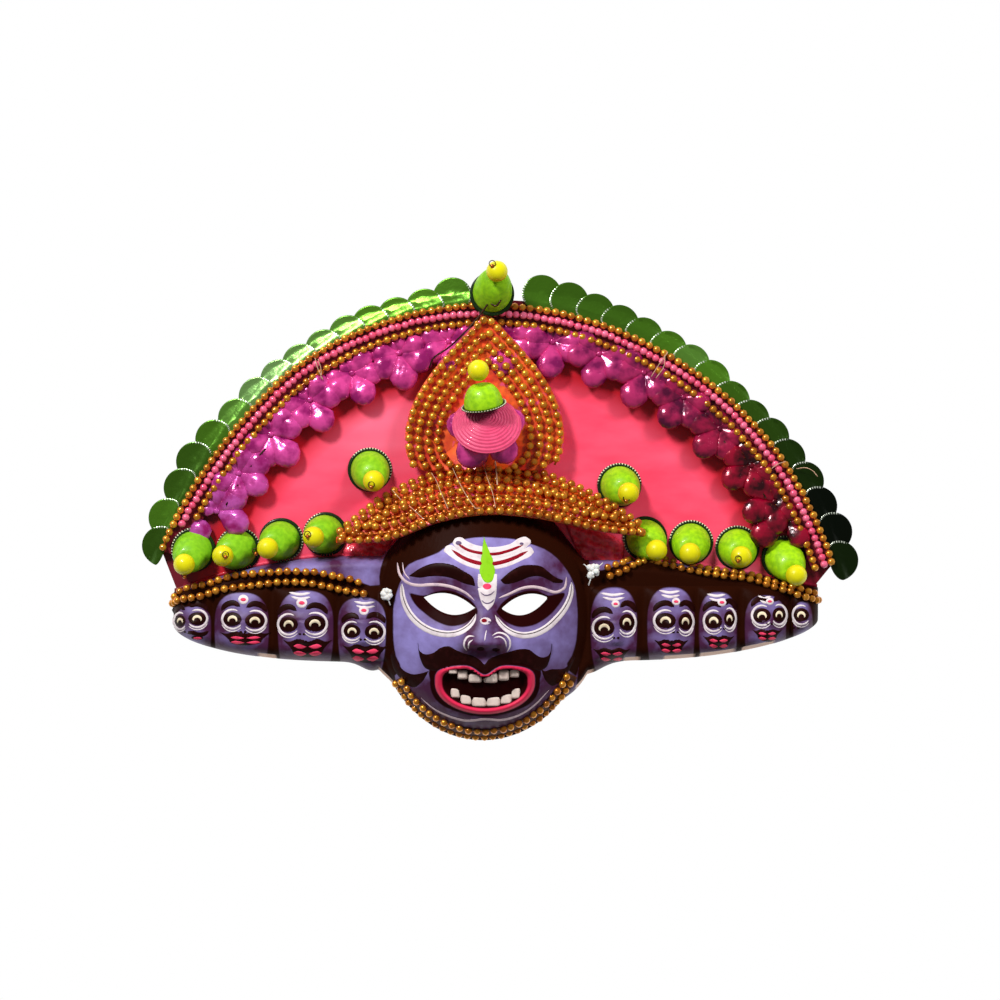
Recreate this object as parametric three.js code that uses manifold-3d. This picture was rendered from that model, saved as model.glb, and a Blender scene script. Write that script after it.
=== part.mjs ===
// Ten-headed demon king dance mask: a papier-mache shell with a painted fan, bead strings,
// foil discs and plastic flowers. It lies on its back: X runs across the face, Y towards the crown,
// Z out of the face, and the origin is under the middle of the whole outline. Millimetres.
import * as THREE from 'three';
import { mergeVertices } from 'three/addons/utils/BufferGeometryUtils.js';
import Module from 'manifold-3d';

// Gap that is left between touching pieces.
const GAP = 0.4;

// The big face: an oval dome on the wings of small heads.
const FACE_X = -14.5;
const FACE_Y = -97;
const FACE_HALF_WIDTH = 88;
const FACE_DOWN = 102.5;
const FACE_UP = 108;
const FACE_HEIGHT = 64;
const WALL = 4.6;
const SHELL_ROWS = 17;

// The wings: where they end, how high they stand and how far they reach up and down.
const LEFT_END = -276;
const RIGHT_END = 269;
const WING_HEIGHT = 28;
const WING_MIDDLE_Y = -90;
const LEFT_WING = { start: -112, drop: 46, bluntness: 2.5, top: -46, topFall: 32, topCurve: 2.2 };
const RIGHT_WING = { start: 90, drop: 45, bluntness: 2.2, top: -49.5, topFall: 24, topCurve: 1.8 };

// Grooves between the small heads, from the face outwards, and the heads' own sizes.
const LEFT_GROOVES = [-92.5, -136, -191, -241, LEFT_END];
const RIGHT_GROOVES = [75, 120, 165.5, 202, 244.5, RIGHT_END];
const HEAD_BULGE = 9;
const HEAD_Y = -103;
const HEAD_HALF_HEIGHT = 31;

// Features of the big face.
const EYE_HOLES = [
  { left: [-63.3, -80.2], right: [-20.8, -88.5], up: 7.2, down: 11.1 },
  { left: [1.2, -89.2], right: [40, -80.5], up: 7, down: 10.7 },
];
const EYE_LEVEL = -87;
const NOSE = { x: -13.4, bridge: -72, tip: -118, height: 17, halfWidth: 7.5 };
const BROWS = [
  { x: -49, halfWidth: 32, y: -66, arch: 13 },
  { x: 27, halfWidth: 30, y: -68, arch: 12 },
];
const MOUTH = { x: -13, y: -160, halfWidth: 43, up: 18, down: 19 };
const LIP_WIDTH = 7;
const MOUTH_DEPTH = 5;
const TEETH = { count: 6, width: 9, height: 8, stand: 4 };

// The fan and what runs along its rim.
const ARCH_X = -1.7;
const ARCH_Y = -126.8;
const ARCH_LEFT = THREE.MathUtils.degToRad(163.4);
const ARCH_RIGHT = THREE.MathUtils.degToRad(15.2);
const FAN_THICKNESS = 4;
const FAN_RADIUS = 296.5;
const RIM_BAND_RADIUS = 273;
const RIM_BAND_HEIGHT = 10;
const FOOT_GAP = 1;
const BEAD = 6;
const STRINGS = {
  outer: { radius: 292.6, left: 163.4 },
  pink: { radius: 284.6, left: 158 },
  inner: { radius: 276.6, left: 156.6 },
};

// Foil discs, shingled from the ends of the fan up to its top.
const FOIL = { count: { left: 16, right: 17 }, depthTop: 26, depthEnd: 17.5, thickness: 1.6 };
const FOIL_SPAN = { left: [95.5, 166], right: [84.5, 12.2] };

// Magenta petal flowers inside the rim band.
const PETAL_RADIUS = 249;
const PETALS = {
  left: { count: 7, first: 99.2, step: 8.4, radius: 17.9 },
  right: { count: 8, first: 85.4, step: -7.9, radius: 17 },
};
const PETAL_HEIGHT = 9;

// Teardrop crest and brim.
const CREST_LOW = 17;
const CREST_HIGH = 22;
const CREST = { apex: [-10.9, 159.2], left: [-79.8, 52], right: [53.8, 54], foot: 25.5, x: -12 };
const BRIM = { x: -14, left: -138, right: 122, front: 51, rise: 27, foot: 10.5, thickness: 5.5 };

// The crest flower is a stack that bends to the crown: petals, a ribbed cone, then a cup.
const CREST_FLOWER = {
  petals: { place: [-11, 62, 34], lean: 20, radius: 31, thickness: 6 },
  cone: { place: [-11, 65, 48], lean: 35, radius: 29, height: 12 },
  cup: { place: [-13.5, 81.5, 57.5], lean: 72, swing: 9.5 },
};

// Cup flowers: a bell-shaped cup on a foil disc, leaning towards the ball on its top.
const CUP_RADIUS = 16.8;
const CUP_HEIGHT = 19;
const DISC_RADIUS = 18.8;
const DISC_THICKNESS = 1.6;
const BALL_RADIUS = 9;
const CUP_FLOWERS = [
  { name: 'field', index: 1, x: -110, y: 26.5, ball: [-105.8, 16.8] },
  { name: 'field', index: 2, x: 100.8, y: 13.4, ball: [107.5, 6.7] },
  { name: 'left', index: 1, x: -258.5, y: -41.2, ball: [-263.8, -52.9] },
  { name: 'left', index: 2, x: -221, y: -40.8, ball: [-232, -45.8] },
  { name: 'left', index: 3, x: -184.8, y: -33, ball: [-194.5, -39.5] },
  { name: 'left', index: 4, x: -147.5, y: -28, ball: [-156.2, -30.2] },
  { name: 'right', index: 1, x: 122.5, y: -31.5, ball: [131, -41.2] },
  { name: 'right', index: 2, x: 161.5, y: -34.8, ball: [159, -43.8] },
  { name: 'right', index: 3, x: 200.5, y: -39.4, ball: [202, -46.6] },
  { name: 'right', index: 4, x: 239.5, y: -48, ball: [248, -62.2] },
];

// Bead rows over the small heads and under the chin, and the thread tufts at the temples.
const WING_ROWS = {
  left: [[-265, -82], [-250, -80], [-232, -72], [-200, -65.5], [-172, -64.5], [-142, -69], [-118, -74]],
  right: [[92, -65], [110, -59.5], [130, -57.5], [155, -59.5], [181, -62.5], [208, -66.5], [232, -71.5], [257, -80]],
};
const WING_STRIP_WIDTH = 13;
const STRIP_TAPER = 5;
const STRIP_GAP = 2;
const STRIP_SHOULDER = 5;
const CHIN_GAP = 4;
const CHIN_STRIP = { from: -2.54, to: -0.6 };
const TUFTS = { left: [-94.5, -78], right: [78, -58.8] };
const TUFT_RADIUS = 5;

const wasm = await Module();
wasm.setup();

// Shared curves. A rounded step goes from 0 up to 1, a rounded fall from 1 down to 0.
function roundedStep(t, bluntness) {
  if (t <= 0) return 0;
  if (t >= 1) return 1;
  return (1 - (1 - t) ** bluntness) ** (1 / bluntness);
}

function roundedFall(t, bluntness) {
  return roundedStep(1 - Math.max(t, 0), bluntness);
}

function bell(distance, width) {
  return Math.exp(-0.5 * (distance / width) ** 2);
}

function smoothMin(a, b, blend) {
  const near = Math.max(blend - Math.abs(a - b), 0) / blend;
  return Math.min(a, b) - (near * near * blend) / 4;
}

// A smooth height through points that run from left to right.
function heightThrough(points, x) {
  const last = points.length - 2;
  let i = 0;
  while (i < last && x > points[i + 1][0]) i += 1;
  const slope = (k) => {
    const before = points[Math.max(k - 1, 0)];
    const after = points[Math.min(k + 1, points.length - 1)];
    return (after[1] - before[1]) / (after[0] - before[0]);
  };
  const span = points[i + 1][0] - points[i][0];
  const t = THREE.MathUtils.clamp((x - points[i][0]) / span, 0, 1);
  const a = 2 * t ** 3 - 3 * t ** 2 + 1;
  const b = t ** 3 - 2 * t ** 2 + t;
  const c = 3 * t ** 2 - 2 * t ** 3;
  const d = t ** 3 - t ** 2;
  return a * points[i][1] + b * span * slope(i) + c * points[i + 1][1] + d * span * slope(i + 1);
}

// Solids. A geometry becomes a solid once its shared corners are merged and slivers dropped.
function solidOf(geometry) {
  const bare = new THREE.BufferGeometry();
  bare.setAttribute('position', geometry.getAttribute('position').clone());
  bare.setIndex(geometry.index);
  const merged = mergeVertices(bare, 1e-4);
  const corners = merged.index.array;
  const kept = [];
  for (let i = 0; i < corners.length; i += 3) {
    const [a, b, c] = [corners[i], corners[i + 1], corners[i + 2]];
    if (a !== b && b !== c && c !== a) kept.push(a, b, c);
  }
  return new wasm.Manifold(
    new wasm.Mesh({
      numProp: 3,
      vertProperties: merged.attributes.position.array,
      triVerts: new Uint32Array(kept),
    }),
  );
}

function geometryOf(solid) {
  const mesh = solid.getMesh();
  const geometry = new THREE.BufferGeometry();
  geometry.setAttribute('position', new THREE.BufferAttribute(new Float32Array(mesh.vertProperties), 3));
  geometry.setIndex(new THREE.BufferAttribute(new Uint32Array(mesh.triVerts), 1));
  const flat = geometry.toNonIndexed();
  flat.computeVertexNormals();
  return flat;
}

// A slab between two heights over a grid of places: place(i, j) gives [x, y], and top and bottom
// take i, j, x and y. A ring closes on itself along i.
function slab({ columns, rows, ring = false, place, top, bottom }) {
  const positions = [];
  const cells = ring ? columns : columns - 1;
  for (const height of [top, bottom]) {
    for (let i = 0; i < columns; i += 1) {
      for (let j = 0; j < rows; j += 1) {
        const [x, y] = place(i, j);
        positions.push(x, y, height(i, j, x, y));
      }
    }
  }
  const at = (side, i, j) => side * columns * rows + (i % columns) * rows + j;
  const index = [];
  const quad = (a, b, c, d) => index.push(a, b, c, a, c, d);
  for (let i = 0; i < cells; i += 1) {
    for (let j = 0; j < rows - 1; j += 1) {
      quad(at(0, i, j), at(0, i + 1, j), at(0, i + 1, j + 1), at(0, i, j + 1));
      quad(at(1, i, j), at(1, i, j + 1), at(1, i + 1, j + 1), at(1, i + 1, j));
    }
    quad(at(1, i, 0), at(1, i + 1, 0), at(0, i + 1, 0), at(0, i, 0));
    quad(at(0, i, rows - 1), at(0, i + 1, rows - 1), at(1, i + 1, rows - 1), at(1, i, rows - 1));
  }
  if (!ring) {
    for (let j = 0; j < rows - 1; j += 1) {
      quad(at(0, 0, j), at(0, 0, j + 1), at(1, 0, j + 1), at(1, 0, j));
      quad(at(1, columns - 1, j), at(1, columns - 1, j + 1), at(0, columns - 1, j + 1), at(0, columns - 1, j));
    }
  }
  const geometry = new THREE.BufferGeometry();
  geometry.setAttribute('position', new THREE.Float32BufferAttribute(positions, 3));
  geometry.setIndex(index);
  const solid = solidOf(geometry);
  if (solid.volume() > 0) return solid;
  const turned = [];
  for (let i = 0; i < index.length; i += 3) turned.push(index[i], index[i + 2], index[i + 1]);
  geometry.setIndex(turned);
  return solidOf(geometry);
}

// The shell's lower and upper edges. The inset draws the whole outline in for the hollow.
function wingReach(wing, end, x, inset) {
  const t = (x - wing.start) / (end - wing.start);
  return WING_MIDDLE_Y - (wing.drop - inset) * roundedFall(t, wing.bluntness);
}

function ovalHalf(x, halfWidth, reach) {
  const t = Math.min(Math.abs((x - FACE_X) / halfWidth), 1);
  return reach * Math.sqrt(1 - t * t);
}

function shellBottom(x, inset) {
  const left = wingReach(LEFT_WING, LEFT_END + inset, x, inset);
  const right = wingReach(RIGHT_WING, RIGHT_END - inset, x, inset);
  const wings = x < FACE_X ? left : right;
  const chin = FACE_Y - ovalHalf(x, FACE_HALF_WIDTH - inset, FACE_DOWN - inset);
  return smoothMin(wings, chin, 40);
}

function shellTop(x, inset) {
  const wing = x < FACE_X ? LEFT_WING : RIGHT_WING;
  const end = x < FACE_X ? LEFT_END : RIGHT_END;
  const t = Math.max((x - wing.start) / (end - wing.start), 0);
  const wings = wing.top - inset - wing.topFall * t ** wing.topCurve;
  const crown = FACE_Y + ovalHalf(x, FACE_HALF_WIDTH - inset, FACE_UP - inset);
  return -smoothMin(-wings, -crown, 30);
}

function faceNearness(x, y, inset) {
  const reach = (y < FACE_Y ? FACE_DOWN : FACE_UP) - inset;
  return Math.hypot((x - FACE_X) / (FACE_HALF_WIDTH - inset), (y - FACE_Y) / reach);
}

// Height of the plain shell: the wings fall off towards their ends, the face rises out of them.
function plainHeight(x, y, inset) {
  const reach = x < FACE_X ? LEFT_END + inset : RIGHT_END - inset;
  const start = FACE_X + Math.sign(reach) * (FACE_HALF_WIDTH - 8);
  const wing = WING_HEIGHT * roundedFall((x - start) / (reach - start), 2.6);
  const near = Math.min(faceNearness(x, y, inset), 1);
  const dome = (1 - near ** 2.2) ** 0.9;
  const inFace = 1 - THREE.MathUtils.smoothstep(Math.abs(x - FACE_X), 50, 95);
  const low = (y - shellBottom(x, inset)) / (14 + 12 * inFace);
  const high = (shellTop(x, inset) - y) / (11 + 11 * inFace);
  const edge = roundedStep(low, 2.5) * roundedStep(high, 2.5);
  return { height: (wing + (FACE_HEIGHT - wing) * dome) * edge, edge };
}

function smallHeads() {
  const heads = [];
  for (const grooves of [LEFT_GROOVES, RIGHT_GROOVES]) {
    for (let i = 0; i + 1 < grooves.length; i += 1) {
      const halfWidth = Math.abs(grooves[i + 1] - grooves[i]) / 2;
      heads.push({ x: (grooves[i] + grooves[i + 1]) / 2, halfWidth });
    }
  }
  return heads;
}

const HEADS = smallHeads();

function headRelief(x, y) {
  for (const head of HEADS) {
    const across = Math.abs(x - head.x) / head.halfWidth;
    if (across < 1) {
      const down = Math.min(Math.abs(y - HEAD_Y) / HEAD_HALF_HEIGHT, 1);
      const bulge = HEAD_BULGE * (1 - across ** 2.4) ** 0.7 * (1 - down ** 3) ** 0.6;
      const nose = 5 * bell(x - head.x, 3.5) * roundedStep((-100 - y) / 15, 2) * bell(Math.min(y + 117, 0), 2.5);
      const lips = 2.6 * bell(x - head.x, 7) * bell(y + 127, 3);
      const brows = 2 * bell(y + 99, 3.5) * (1 - across ** 2);
      return bulge + nose + lips + brows;
    }
  }
  return 0;
}

function noseRelief(x, y) {
  const along = THREE.MathUtils.clamp((NOSE.bridge - y) / (NOSE.bridge - NOSE.tip), 0, 1);
  const under = bell(Math.min(y - NOSE.tip, 0), 3.5);
  const ridge = NOSE.height * (0.15 * roundedStep(along * 6, 2) + 0.85 * along ** 1.4) * under;
  const width = NOSE.halfWidth * (0.75 + 0.5 * along);
  const wings = bell(Math.abs(x - NOSE.x) - 14, 5) * bell(y - NOSE.tip - 1, 6);
  return ridge * bell(x - NOSE.x, width) + 7.5 * wings;
}

function faceRelief(x, y) {
  let relief = noseRelief(x, y);
  for (const brow of BROWS) {
    const t = (x - brow.x) / brow.halfWidth;
    const line = brow.y + brow.arch * (1 - t * t);
    relief += 4 * bell(y - line, 5.5) * bell(t, 0.75);
  }
  for (const eye of EYE_HOLES) {
    const middle = (eye.left[0] + eye.right[0]) / 2;
    relief -= 4 * bell(x - middle, 17) * bell(y - EYE_LEVEL, 9);
    relief += 4 * bell(x - middle + Math.sign(FACE_X - middle) * 3, 15) * bell(y + 113, 12);
  }
  relief += 6 * bell(x - MOUTH.x, 32) * bell(y - MOUTH.y, 22);
  relief += 5 * bell(x - MOUTH.x, 15) * bell(y + 187, 8);
  return relief;
}

function shellHeight(x, y) {
  const { height, edge } = plainHeight(x, y, 0);
  const inFace = 1 - THREE.MathUtils.smoothstep(faceNearness(x, y, 0), 0.8, 1);
  return height + (faceRelief(x, y) * inFace + headRelief(x, y)) * edge;
}

// Columns sit on every groove and head middle, so that each small head keeps its shape.
function shellColumns() {
  const columns = [];
  const quarters = (from, to, parts) => {
    for (let k = 0; k < parts; k += 1) columns.push(from + ((to - from) * k) / parts);
  };
  const left = [...LEFT_GROOVES].reverse();
  columns.push(LEFT_END);
  quarters(LEFT_END + 1.6, left[1], 4);
  for (let i = 1; i + 1 < left.length; i += 1) quarters(left[i], left[i + 1], 4);
  quarters(LEFT_GROOVES[0], RIGHT_GROOVES[0], 26);
  for (let i = 0; i + 2 < RIGHT_GROOVES.length; i += 1) quarters(RIGHT_GROOVES[i], RIGHT_GROOVES[i + 1], 4);
  quarters(RIGHT_GROOVES.at(-2), RIGHT_END - 1.6, 4);
  columns.push(RIGHT_END - 1.6, RIGHT_END);
  return columns;
}

// Rows crowd towards both edges, where the shell turns down to its rim.
function rowShare(j, rows) {
  const v = j / (rows - 1);
  return 0.45 * v + 0.55 * (0.5 - 0.5 * Math.cos(Math.PI * v));
}

function shellBlock(columns, rows, grow) {
  const low = (x) => shellBottom(x, 0) - grow;
  const high = (x) => shellTop(x, 0) + grow;
  const inside = (x) => THREE.MathUtils.clamp(x, LEFT_END, RIGHT_END);
  return slab({
    columns: columns.length,
    rows,
    place: (i, j) => {
      const x = inside(columns[i]);
      return [columns[i], low(x) + (high(x) - low(x)) * rowShare(j, rows)];
    },
    top: (i, j, x, y) => {
      const rim = j === 0 || j === rows - 1 || i === 0 || i === columns.length - 1;
      return rim ? grow : grow + Math.max(shellHeight(inside(x), y), 0);
    },
    bottom: () => 0,
  });
}

function hollowBlock() {
  const columns = 28;
  const rows = 8;
  const from = LEFT_END + WALL;
  const to = RIGHT_END - WALL;
  return slab({
    columns,
    rows,
    place: (i, j) => {
      const x = from + ((to - from) * i) / (columns - 1);
      const low = shellBottom(x, WALL);
      return [x, low + (shellTop(x, WALL) - low) * rowShare(j, rows)];
    },
    top: (i, j, x, y) => plainHeight(x, y, WALL).height - WALL,
    bottom: () => -WALL,
  });
}

function eyeHole(eye) {
  const middleX = (eye.left[0] + eye.right[0]) / 2;
  const middleY = (eye.left[1] + eye.right[1]) / 2;
  const outline = new THREE.Shape();
  outline.moveTo(...eye.left);
  outline.quadraticCurveTo(middleX, middleY + 2 * eye.up, ...eye.right);
  outline.quadraticCurveTo(middleX, middleY - 2 * eye.down, ...eye.left);
  return solidOf(new THREE.ExtrudeGeometry(outline, { depth: 120, bevelEnabled: false, curveSegments: 6 }));
}

// The lips and the mouth share one outline: wide, with a dip in the middle of the upper lip.
function mouthPoint(angle, shrink) {
  const c = Math.cos(angle);
  const s = Math.sin(angle);
  const dip = s > 0 ? 5 * bell(c, 0.16) : 0;
  const reach = s > 0 ? MOUTH.up - shrink : MOUTH.down - shrink;
  const x = MOUTH.x + (MOUTH.halfWidth - shrink) * Math.sign(c) * Math.abs(c) ** 0.85;
  return [x, MOUTH.y + reach * Math.sign(s) * Math.abs(s) ** 0.8 - dip];
}

function lipRing() {
  const columns = 18;
  return slab({
    columns,
    rows: 3,
    ring: true,
    place: (i, j) => mouthPoint((2 * Math.PI * i) / columns, (LIP_WIDTH * j) / 2),
    top: (i, j, x, y) => shellHeight(x, y) + (j === 1 ? 4 : 0.8),
    bottom: (i, j, x, y) => shellHeight(x, y) - 3,
  });
}

function mouthPocket() {
  const columns = 18;
  return slab({
    columns,
    rows: 2,
    ring: true,
    place: (i, j) => mouthPoint((2 * Math.PI * i) / columns, j === 0 ? LIP_WIDTH : MOUTH.up - 2),
    top: () => 90,
    bottom: (i, j, x, y) => shellHeight(x, y) - MOUTH_DEPTH,
  });
}

function mouthPlug() {
  const outline = new THREE.Shape();
  const columns = 18;
  for (let i = 0; i < columns; i += 1) {
    const [x, y] = mouthPoint((2 * Math.PI * i) / columns, MOUTH.up - 2.2);
    if (i === 0) outline.moveTo(x, y);
    else outline.lineTo(x, y);
  }
  const floor = shellHeight(MOUTH.x, MOUTH.y) - MOUTH_DEPTH;
  const plug = new THREE.ExtrudeGeometry(outline, { depth: 60, bevelEnabled: false });
  return solidOf(plug.translate(0, 0, floor));
}

function teeth() {
  const solids = [];
  for (const row of ['upper', 'lower']) {
    for (let k = 0; k < TEETH.count; k += 1) {
      const offset = (k - (TEETH.count - 1) / 2) * (TEETH.width + 1.2);
      const curl = (offset / 30) ** 2 * 3.5;
      const middle = row === 'upper' ? MOUTH.y + MOUTH.up - 12 + curl * 0.2 : MOUTH.y - 6.5 + curl;
      const place = (i, j) => [
        MOUTH.x + offset + (i - 0.5) * TEETH.width,
        middle + (j - 0.5) * TEETH.height,
      ];
      solids.push(
        slab({
          columns: 2,
          rows: 2,
          place,
          top: (i, j, x, y) => shellHeight(x, y) - MOUTH_DEPTH + TEETH.stand,
          bottom: (i, j, x, y) => shellHeight(x, y) - MOUTH_DEPTH - 2,
        }),
      );
    }
  }
  return solids;
}

function maskShell() {
  let shell = shellBlock(shellColumns(), SHELL_ROWS, 0).subtract(hollowBlock());
  shell = shell.add(lipRing()).subtract(mouthPocket()).subtract(mouthPlug());
  for (const tooth of teeth()) shell = shell.add(tooth);
  for (const eye of EYE_HOLES) shell = shell.subtract(eyeHole(eye));
  return shell;
}

// The shell grown by the gap, which is cut from whatever leans on it.
function shellClearance() {
  const columns = shellColumns();
  columns[0] -= 2 * GAP;
  columns[columns.length - 1] += 2 * GAP;
  return shellBlock(columns, SHELL_ROWS, 2 * GAP);
}

// The fan: a flat board down to the shell's upper edge, with a raised band under the bead strings.
function archPoint(angle, radius) {
  return [ARCH_X + radius * Math.cos(angle), ARCH_Y + radius * Math.sin(angle)];
}

function fanBoard() {
  const archSteps = 30;
  const footSteps = 42;
  const outline = new THREE.Shape();
  const band = new THREE.Shape();
  const archAngle = (i) => ARCH_RIGHT + ((ARCH_LEFT - ARCH_RIGHT) * i) / archSteps;
  outline.moveTo(...archPoint(ARCH_RIGHT, FAN_RADIUS));
  band.moveTo(...archPoint(ARCH_RIGHT, FAN_RADIUS));
  for (let i = 1; i <= archSteps; i += 1) {
    outline.lineTo(...archPoint(archAngle(i), FAN_RADIUS));
    band.lineTo(...archPoint(archAngle(i), FAN_RADIUS));
  }
  for (let i = archSteps; i >= 0; i -= 1) band.lineTo(...archPoint(archAngle(i), RIM_BAND_RADIUS));
  for (let i = 0; i <= footSteps; i += 1) {
    const x = LEFT_END + 3 + ((RIGHT_END - LEFT_END - 6) * i) / footSteps;
    outline.lineTo(x, shellTop(x, 0) + FOOT_GAP);
  }
  const board = solidOf(new THREE.ExtrudeGeometry(outline, { depth: FAN_THICKNESS, bevelEnabled: false }));
  const raised = solidOf(new THREE.ExtrudeGeometry(band, { depth: RIM_BAND_HEIGHT, bevelEnabled: false }));
  return board.add(raised);
}

// A bead string along the rim, drawn as a plain cord of the beads' own thickness.
const STRING_SETBACK = 0.008;

function archString({ radius, left }) {
  const columns = 27;
  const sides = 4;
  const middle = RIM_BAND_HEIGHT + GAP + BEAD / 2;
  const positions = [];
  const index = [];
  for (let i = 0; i < columns; i += 1) {
    const from = ARCH_RIGHT + STRING_SETBACK;
    const angle = from + ((THREE.MathUtils.degToRad(left) - STRING_SETBACK - from) * i) / (columns - 1);
    for (let k = 0; k < sides; k += 1) {
      const turn = (2 * Math.PI * k) / sides;
      const [x, y] = archPoint(angle, radius + (BEAD / 2) * Math.cos(turn));
      positions.push(x, y, middle + (BEAD / 2) * Math.sin(turn));
    }
  }
  for (let i = 0; i + 1 < columns; i += 1) {
    for (let k = 0; k < sides; k += 1) {
      const next = (k + 1) % sides;
      const [a, b] = [i * sides + k, i * sides + next];
      index.push(a, a + sides, b + sides, a, b + sides, b);
    }
  }
  const end = (columns - 1) * sides;
  for (let k = 1; k + 1 < sides; k += 1) {
    index.push(0, k, k + 1);
    index.push(end, end + k + 1, end + k);
  }
  const geometry = new THREE.BufferGeometry();
  geometry.setAttribute('position', new THREE.Float32BufferAttribute(positions, 3));
  geometry.setIndex(index);
  return geometry;
}

// Foil discs of one side, pressed together: each lifts its upper edge over the disc above it.
function foilRow(side) {
  const count = FOIL.count[side];
  const [from, to] = FOIL_SPAN[side].map(THREE.MathUtils.degToRad);
  const shares = [0.02, 0.3, 0.7, 0.98];
  const columns = count * shares.length;
  const share = (i) => (Math.floor(i / shares.length) + shares[i % shares.length]) / count;
  const scallop = (i) => {
    const across = 2 * shares[i % shares.length] - 1;
    const depth = FOIL.depthTop + (FOIL.depthEnd - FOIL.depthTop) * share(i);
    return depth * Math.sqrt(1 - (0.92 * across) ** 2);
  };
  const lift = (i) => 6.5 - 5 * shares[i % shares.length];
  return slab({
    columns,
    rows: 2,
    place: (i, j) => archPoint(from + (to - from) * share(i), FAN_RADIUS + GAP + (j === 0 ? 0 : scallop(i))),
    top: (i) => lift(i) + FOIL.thickness,
    bottom: (i) => lift(i),
  });
}

// A petal flower: rounded lobes round a stitched middle, thickest at its middle.
function lobedFlower(radius, low, high, lobes) {
  const columns = lobes * 2;
  return slab({
    columns,
    rows: 2,
    ring: true,
    place: (i, j) => {
      const angle = (2 * Math.PI * (i + 0.5)) / columns;
      const reach = j === 0 ? 0 : radius * (i % 2 === 0 ? 1 : 0.8);
      return [reach * Math.cos(angle), reach * Math.sin(angle)];
    },
    top: (i, j) => low + (high - low) * (j === 0 ? 1 : 0.5),
    bottom: () => low,
  });
}

function crestBoard() {
  const { apex, left, right, foot, x } = CREST;
  const outline = new THREE.Shape();
  outline.moveTo(x - 52, foot);
  outline.bezierCurveTo(x - 62, foot + 6, left[0], left[1] - 20, left[0], left[1]);
  outline.bezierCurveTo(left[0], left[1] + 42, apex[0] - 30, apex[1] - 32, apex[0], apex[1]);
  outline.bezierCurveTo(apex[0] + 30, apex[1] - 32, right[0], right[1] + 42, right[0], right[1]);
  outline.bezierCurveTo(right[0], right[1] - 20, x + 54, foot + 6, x + 44, foot);
  outline.closePath();
  const board = new THREE.ExtrudeGeometry(outline, {
    depth: CREST_HIGH - CREST_LOW,
    bevelEnabled: false,
    curveSegments: 9,
  });
  return solidOf(board.translate(0, 0, CREST_LOW));
}

// The brim: a curved card leaning from the fan out over the forehead, its tips on the flowers.
function brimUpper(x) {
  return heightThrough([[BRIM.left, -31], [-92.5, 4.2], [BRIM.x, 28.6], [84, 0], [BRIM.right, -25]], x);
}

function brimLower(x) {
  const leftHalf = [[BRIM.left, -35], [-92.5, -32.5], [-52, -17.5], [BRIM.x, -10.9]];
  const rightHalf = [[32, -14], [84, -25], [BRIM.right, -29]];
  return heightThrough([...leftHalf, ...rightHalf], x);
}

function crownBrim(clearance) {
  const columns = 21;
  const rows = 3;
  const front = (i, j, x) => {
    const t = x < BRIM.x ? (BRIM.x - x) / (BRIM.x - BRIM.left) : (x - BRIM.x) / (BRIM.right - BRIM.x);
    const low = BRIM.front - (BRIM.front - BRIM.rise) * t * t;
    const high = BRIM.foot + (BRIM.rise - 1 - BRIM.foot) * t * t;
    const v = j / (rows - 1);
    return low + (high - low) * v + 3.2 * Math.sin(Math.PI * v) * (1 - t * t);
  };
  const card = slab({
    columns,
    rows,
    place: (i, j) => {
      const x = BRIM.left + ((BRIM.right - BRIM.left) * i) / (columns - 1);
      return [x, brimLower(x) + ((brimUpper(x) - brimLower(x)) * j) / (rows - 1)];
    },
    top: front,
    bottom: (i, j, x) => front(i, j, x) - BRIM.thickness,
  });
  return card.subtract(clearance);
}

// Cup flower parts, standing on z = 0. The cup's middle line leans out to meet the ball.
function cupOnDisc(lean) {
  const profile = [
    [0, 0],
    [DISC_RADIUS, 0],
    [DISC_RADIUS, DISC_THICKNESS],
    [CUP_RADIUS, DISC_THICKNESS],
    [CUP_RADIUS * 0.82, CUP_HEIGHT * 0.6],
    [CUP_RADIUS * 0.4, CUP_HEIGHT],
    [0, CUP_HEIGHT],
  ].map(([r, z]) => new THREE.Vector2(r, z));
  const upright = new THREE.LatheGeometry(profile, 8).rotateX(Math.PI / 2);
  const [leanX, leanY] = lean;
  return upright.applyMatrix4(new THREE.Matrix4().set(1, 0, leanX, 0, 0, 1, leanY, 0, 0, 0, 1, 0, 0, 0, 0, 1));
}

function ball(radius) {
  return new THREE.SphereGeometry(radius, 8, 4).rotateX(Math.PI / 2);
}

// A bead-covered strip over the small heads. At the shell's upper edge it lies out flat.
function stripFloor(x, y) {
  return shellHeight(x, Math.min(y, shellTop(x, 0) - STRIP_SHOULDER)) + STRIP_GAP;
}

function wingStrip(side) {
  const row = WING_ROWS[side];
  const from = row[0][0];
  const to = row.at(-1)[0];
  const columns = 16;
  return slab({
    columns,
    rows: 3,
    place: (i, j) => {
      const x = from + ((to - from) * i) / (columns - 1);
      const outer = THREE.MathUtils.smoothstep(Math.abs(x), 215, 250);
      return [x, heightThrough(row, x) + (j / 2 - 0.5) * (WING_STRIP_WIDTH - STRIP_TAPER * outer)];
    },
    top: (i, j, x, y) => stripFloor(x, y) + (j === 1 ? BEAD : BEAD * 0.7) - 1,
    bottom: (i, j, x, y) => stripFloor(x, y),
  });
}

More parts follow.
